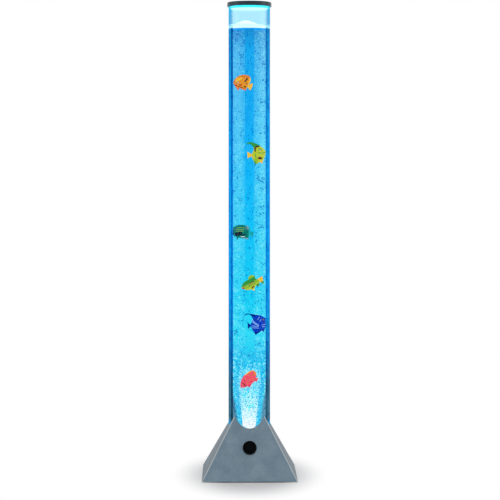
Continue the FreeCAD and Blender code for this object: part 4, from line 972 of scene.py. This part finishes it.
# How each fish is painted, in the same shares: first its body colour, then areas (a test on the place), and
# last brush marks as (points, width, colour), where one point makes a dot.
FISH_PAINT = {
    "orange_fish": (ORANGE, [
        (lambda u, v: v > 0.50, (0.72, 0.20, 0.02)), (lambda u, v: v < -0.24, (0.80, 0.13, 0.02)),
        (lambda u, v: u > 0.42, RED), (lambda u, v: u < -0.50, AMBER),
    ], [
        ([(0.40, -0.10), (0.22, -0.12)], 0.055, RED), ([(0.04, -0.05), (-0.12, -0.02)], 0.05, RED),
        ([(0.22, -0.13)], 0.075, RED), ([(0.10, -0.16), (-0.20, -0.20)], 0.03, DEEP_RED),
        ([(-0.36, 0.50), (-0.34, 0.40), (-0.28, 0.27)], 0.050, BLACK), ([(-0.35, -0.10)], 0.065, BLACK),
        ([(-0.40, 0.13)], 0.045, BLACK), ([(0.30, 0.22), (0.0, 0.44)], 0.07, AMBER),
    ]),
    "yellow_fish": (LEMON, [
        (lambda u, v: v > 0.50, LEAF), (lambda u, v: u < -0.22 and v < -0.30, OLIVE),
        (lambda u, v: u < -0.36 and v < -0.48, LEAF), (lambda u, v: u < -0.50 and v < 0.5, AMBER),
        (lambda u, v: u > -0.12 and v < -0.50, AMBER),
    ], [
        ([(-0.24, 0.24), (-0.21, 0.40), (-0.10, 0.52), (0.05, 0.50)], 0.055, BROWN),
        ([(-0.09, 0.14), (0.04, 0.02), (0.20, -0.02), (0.42, 0.01)], 0.03, LEAF),
        ([(-0.02, 0.33), (0.10, 0.33), (0.19, 0.24)], 0.03, LEAF), ([(-0.04, -0.31)], 0.10, DEEP_RED),
        ([(-0.14, -0.29), (0.06, -0.35)], 0.065, DEEP_RED), ([(-0.28, 0.05), (-0.30, -0.25)], 0.03, LEAF),
    ]),
    "teal_fish": (TEAL, [
        (lambda u, v: u < -0.36 and v > 0.22, MIST), (lambda u, v: u < -0.20 and v < -0.24, MIST),
        (lambda u, v: u < -0.50, MINT), (lambda u, v: u > 0.43, (0.01, 0.05, 0.05)),
    ], [
        ([(0.08, 0.32), (-0.28, 0.32)], 0.018, OLIVE), ([(0.12, 0.22), (-0.28, 0.22)], 0.018, OLIVE),
        ([(0.12, 0.12), (-0.26, 0.12)], 0.018, OLIVE), ([(0.10, -0.06), (-0.12, -0.01)], 0.10, BLACK),
        ([(0.0, -0.04)], 0.03, DEEP_RED),
        ([(0.30, 0.20), (0.27, 0.0), (0.28, -0.16)], 0.03, BLACK),
        ([(0.36, 0.05), (0.36, -0.03)], 0.035, WHITE),
        ([(-0.40, 0.36), (-0.42, 0.16)], 0.022, BLACK), ([(-0.20, -0.12), (-0.34, -0.06)], 0.04, BLACK),
        ([(-0.14, -0.19), (-0.30, -0.17)], 0.022, WHITE),
    ]),
    "green_fish": (OLIVE, [
        (lambda u, v: v > 0.07 and u > -0.5, LEAF), (lambda u, v: v < -0.14, LEMON),
        (lambda u, v: v > 0.29, OLIVE), (lambda u, v: u < -0.56, AMBER),
        (lambda u, v: u < -0.30 and v < -0.20, LEAF), (lambda u, v: v < -0.36, AMBER),
        (lambda u, v: u > 0.36 and v < 0.02, RED),
    ], [
        ([(-0.02, 0.10), (-0.14, 0.04), (-0.28, 0.05)], 0.022, BROWN),
        ([(0.0, 0.0), (-0.12, -0.06), (-0.28, -0.06)], 0.022, (0.40, 0.05, 0.02)),
        ([(-0.18, 0.10), (-0.36, 0.02)], 0.02, BROWN), ([(-0.04, -0.26), (-0.16, -0.22)], 0.045, DEEP_RED),
        ([(0.10, 0.14), (0.04, 0.0), (0.07, -0.14)], 0.022, LEAF),
    ]),
    "blue_fish": (ROYAL, [
        (lambda u, v: v > 0.44, NAVY), (lambda u, v: v < -0.42, NAVY), (lambda u, v: u < -0.54, NAVY),
    ], [
        ([(-0.34, 0.36), (-0.33, 0.20), (-0.26, 0.05), (-0.14, -0.04)], 0.018, SKY),
        ([(-0.40, 0.22), (-0.30, 0.02), (-0.13, -0.12)], 0.018, SKY),
        ([(-0.46, -0.03), (-0.32, -0.10), (-0.16, -0.16)], 0.018, SKY),
        ([(-0.46, -0.15), (-0.32, -0.20), (-0.17, -0.25)], 0.018, SKY),
        ([(-0.10, 0.22), (0.03, 0.34)], 0.016, SKY), ([(0.03, -0.14), (0.24, -0.15)], 0.018, SKY),
        ([(0.03, -0.24), (0.18, -0.28)], 0.018, SKY), ([(-0.02, 0.10), (0.08, 0.18)], 0.016, SKY),
    ]),
    "pink_fish": (CORAL, [
        (lambda u, v: v > 0.50 - u * 0.1 and u < -0.12, AMBER), (lambda u, v: u < -0.60, (0.90, 0.22, 0.04)),
        (lambda u, v: v < -0.10, ROSE), (lambda u, v: u > 0.44, ROSE),
    ], [
        ([(0.28, 0.18), (0.20, 0.08), (0.22, -0.05)], 0.034, DEEP_RED),
        *[([spot], *ring) for spot in PINK_SPOTS for ring in ((0.045, DEEP_RED), (0.032, AMBER))],
        ([(-0.20, 0.02)], 0.036, DEEP_RED), ([(0.10, 0.22)], 0.036, DEEP_RED),
    ]),
}

# Where each eye sits, its radius, and the colour of the ring round its black pupil, in the same shares.
FISH_EYES = {
    "orange_fish": (0.16, 0.10, 0.050, (0.55, 0.50, 0.52)),
    "yellow_fish": (0.10, 0.22, 0.060, (0.60, 0.62, 0.20)),
    "teal_fish": (0.34, 0.06, 0.040, WHITE),
    "green_fish": (0.25, 0.04, 0.038, (0.45, 0.45, 0.12)),
    "blue_fish": (0.19, 0.13, 0.042, (0.34, 0.13, 0.03)),
    "pink_fish": (0.26, 0.10, 0.035, (0.50, 0.10, 0.03)),
}

GRID = 0.0008
ROW_STEP = GRID * 0.87
FIN_HALF = 0.00045
RIM_HALF = 0.0002
RAY_COUNT, RAY_DEPTH = 26, 0.00012
EYE_BULGE = 0.0007
GILL_RADIUS, GILL_WIDTH, GILL_DEPTH = 0.24, 0.02, 0.0003
# Parts of an eye in shares of its radius: the shade round it, its pupil, and the painted highlight, a white
# glint, in that.
EYE_SHADE, PUPIL, PAINTED_GLINT = 1.25, 0.55, 0.18


def arc_points(start, middle, end, steps=9):
    """Points on the circle through three places, without the first one."""
    ax, ay = middle[0] - start[0], middle[1] - start[1]
    bx, by = end[0] - start[0], end[1] - start[1]
    twice = 2 * (ax * by - ay * bx)
    cx = start[0] + (by * (ax * ax + ay * ay) - ay * (bx * bx + by * by)) / twice
    cy = start[1] + (ax * (bx * bx + by * by) - bx * (ax * ax + ay * ay)) / twice
    radius = math.hypot(start[0] - cx, start[1] - cy)
    first = math.atan2(start[1] - cy, start[0] - cx)
    through = math.atan2(middle[1] - cy, middle[0] - cx)
    last = math.atan2(end[1] - cy, end[0] - cx)
    turn = 1 if (through - first) % (2 * math.pi) < (last - first) % (2 * math.pi) else -1
    sweep = ((last - first) * turn) % (2 * math.pi) * turn
    angles = [first + sweep * step / steps for step in range(1, steps + 1)]
    return [(cx + radius * math.cos(angle), cy + radius * math.sin(angle)) for angle in angles]


def outline_points(points):
    """The outline as a closed row of places, with its arcs divided."""
    row = []
    for place, point in enumerate(points):
        if len(point) == 3:
            row += arc_points(points[place - 1], point, points[(place + 1) % len(points)])[:-1]
        else:
            row.append(point)
    return row


def distance_to_line(u, v, points):
    """The distance from a place to a row of joined lines."""
    if len(points) == 1:
        return math.hypot(u - points[0][0], v - points[0][1])
    nearest = 9.0
    for (ax, ay), (bx, by) in zip(points, points[1:]):
        dx, dy = bx - ax, by - ay
        share = max(0.0, min(1.0, ((u - ax) * dx + (v - ay) * dy) / (dx * dx + dy * dy)))
        nearest = min(nearest, math.hypot(u - ax - dx * share, v - ay - dy * share))
    return nearest


def blend_colours(first, second, amount):
    return tuple(a + (b - a) * amount for a, b in zip(first, second))


# An area's edge is softened by testing it round each place, and a brush mark's by a narrow blend.
AREA_TESTS = ((0, 0), (0.02, 0), (-0.02, 0), (0, 0.02), (0, -0.02))
MARK_EDGE = 0.012


def paint_at(name, u, v):
    """The paint on a place of a fish, given in shares of its length."""
    colour, areas, marks = FISH_PAINT[name]
    for inside, area_colour in areas:
        near = sum(inside(u + du, v + dv) for du, dv in AREA_TESTS) / len(AREA_TESTS)
        colour = blend_colours(colour, area_colour, near)
    wander = noise.noise(Vector((u * 9, v * 9, len(name))))
    colour = blend_colours(colour, tuple(part * 0.55 for part in colour), max(0.0, wander) * 0.7)
    for points, width, mark_colour in marks:
        edge = (width - distance_to_line(u, v, points)) / MARK_EDGE
        colour = blend_colours(colour, mark_colour, max(0.0, min(1.0, edge)))
    eye_u, eye_v, eye_radius, ring_colour = FISH_EYES[name]
    off_eye = math.hypot(u - eye_u, v - eye_v) / eye_radius
    if off_eye < EYE_SHADE:
        colour = blend_colours(colour, BLACK, 0.7)
    if off_eye < 1.0:
        colour = ring_colour
    if off_eye < PUPIL:
        colour = BLACK
    # painted highlight: a white glint in the pupil
    if math.hypot(u - eye_u - eye_radius * 0.2, v - eye_v - eye_radius * 0.25) < eye_radius * PAINTED_GLINT:
        colour = WHITE
    return colour


def half_thickness(name, u, v):
    """Half the moulding's thickness at a place: fin plate with rays, body, gill and eye."""
    length, back, belly, thick = (part / 1000 for part in FISH[name][:4])
    rays = math.cos(RAY_COUNT * math.atan2(v, u + 0.12)) * RAY_DEPTH
    half = FIN_HALF + rays
    along = 1 - (2 * u) ** 2
    if along > 0:
        tall = (back if v > 0 else belly) / length * along
        over = 1 - (v / tall) ** 2
        if over > 0:
            half = max(half, thick / 2 * along ** 0.55 * over ** 0.6)
    eye_u, eye_v, eye_radius, _ = FISH_EYES[name]
    off_eye = math.hypot(u - eye_u, v - eye_v) / eye_radius
    if off_eye < 1:
        half += EYE_BULGE * math.sqrt(1 - off_eye ** 2)
    gill = abs(math.hypot(u - eye_u - 0.10, v) - GILL_RADIUS)
    if u < eye_u and abs(v) < 0.16 and gill < GILL_WIDTH:
        half -= GILL_DEPTH * (1 - gill / GILL_WIDTH)
    return half


def fish_moulding(name):
    """Both sides of the moulding over one triangulated outline, with a narrow rim between them."""
    length = FISH[name][0] / 1000
    outline = [Vector((u * length, v * length)) for u, v in outline_points(FISH_OUTLINES[name])]
    sides_of_outline = list(zip(outline, outline[1:] + outline[:1]))
    edge_row = []
    for start, end in sides_of_outline:
        steps = max(1, round((end - start).length / GRID))
        edge_row += [start.lerp(end, step / steps) for step in range(steps)]
    rim_count = len(edge_row)
    places = list(edge_row)
    low_u, high_u = min(p.x for p in outline), max(p.x for p in outline)
    low_v, high_v = min(p.y for p in outline), max(p.y for p in outline)
    rows = int((high_v - low_v) / ROW_STEP)
    columns = int((high_u - low_u) / GRID)
    for row in range(rows):
        for column in range(columns):
            spot = Vector((low_u + (column + 0.5 * (row % 2)) * GRID, low_v + row * ROW_STEP))
            crossings = 0
            for start, end in sides_of_outline:
                if (start.y > spot.y) != (end.y > spot.y):
                    if spot.x < start.x + (end.x - start.x) * (spot.y - start.y) / (end.y - start.y):
                        crossings += 1
                share = geometry.intersect_point_line(spot, start, end)[1]
                nearest = start.lerp(end, max(0.0, min(1.0, share)))
                if (spot - nearest).length < GRID * 0.6:
                    break
            else:
                if crossings % 2 == 1:
                    places.append(spot)
    spots, _, triangles, sources, *_ = geometry.delaunay_2d_cdt(places, [], [list(range(rim_count))], 1, 1e-7)
    work = bmesh.new()
    paint = work.verts.layers.float_color.new("paint")
    sides = {1: [], -1: []}
    for side in (1, -1):
        for spot, source in zip(spots, sources):
            u, v = spot.x / length, spot.y / length
            on_rim = any(index < rim_count for index in source)
            half = RIM_HALF if on_rim else half_thickness(name, u, v)
            vert = work.verts.new((spot.x, side * half, spot.y))
            vert[paint] = (*paint_at(name, u, v), 1)
            sides[side].append(vert)
    uses = {}
    for corners in triangles:
        work.faces.new([sides[1][corner] for corner in corners])
        work.faces.new([sides[-1][corner] for corner in reversed(corners)])
        for first, second in zip(corners, list(corners[1:]) + [corners[0]]):
            uses.setdefault(frozenset((first, second)), []).append((first, second))
    for pair in uses.values():
        if len(pair) == 1:
            first, second = pair[0]
            work.faces.new((sides[1][second], sides[1][first], sides[-1][first], sides[-1][second]))
    return smooth_object(name + "_moulding", work)


def fish_paint_finish():
    """Hand paint, a little worn, over moulded scales."""
    finish = new_finish("fish_paint", Roughness=0.30, Specular_IOR_Level=0.04, Emission_Strength=0.93)
    tree = finish.node_tree
    painted = tree.nodes.new("ShaderNodeAttribute")
    painted.attribute_name = "paint"
    mask, _ = fine_grain(tree, 700)
    worn = colour_ramp(tree, mask, [(0.3, (0.86, 0.86, 0.86)), (0.7, (1.06, 1.06, 1.06))])
    # the blue light round a fish barely tints it, so its own colour mostly comes as glow
    glow_with(finish, times_colour(tree, painted.outputs["Color"], worn), 0.30)
    scales = add_node(tree, "ShaderNodeTexVoronoi", Vector=object_point(tree), Scale=520)["Distance"]
    feed(finish, Normal=relief(tree, scales, 0.35, 0.0003))
    return finish


fish_paint = fish_paint_finish()
for name, sizes in FISH.items():
    across, depth, height, turn, pitch = sizes[4:]
    moulding = fish_moulding(name)
    place = Matrix.Translation(Vector((across, depth, height)) / 1000)
    turned = Matrix.Rotation(math.radians(turn), 4, "Z") @ Matrix.Rotation(math.radians(-pitch), 4, "Y")
    moulding.data.transform(place @ turned)
    moulding.data.materials.append(fish_paint)
    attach(moulding, name)
    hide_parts(name)
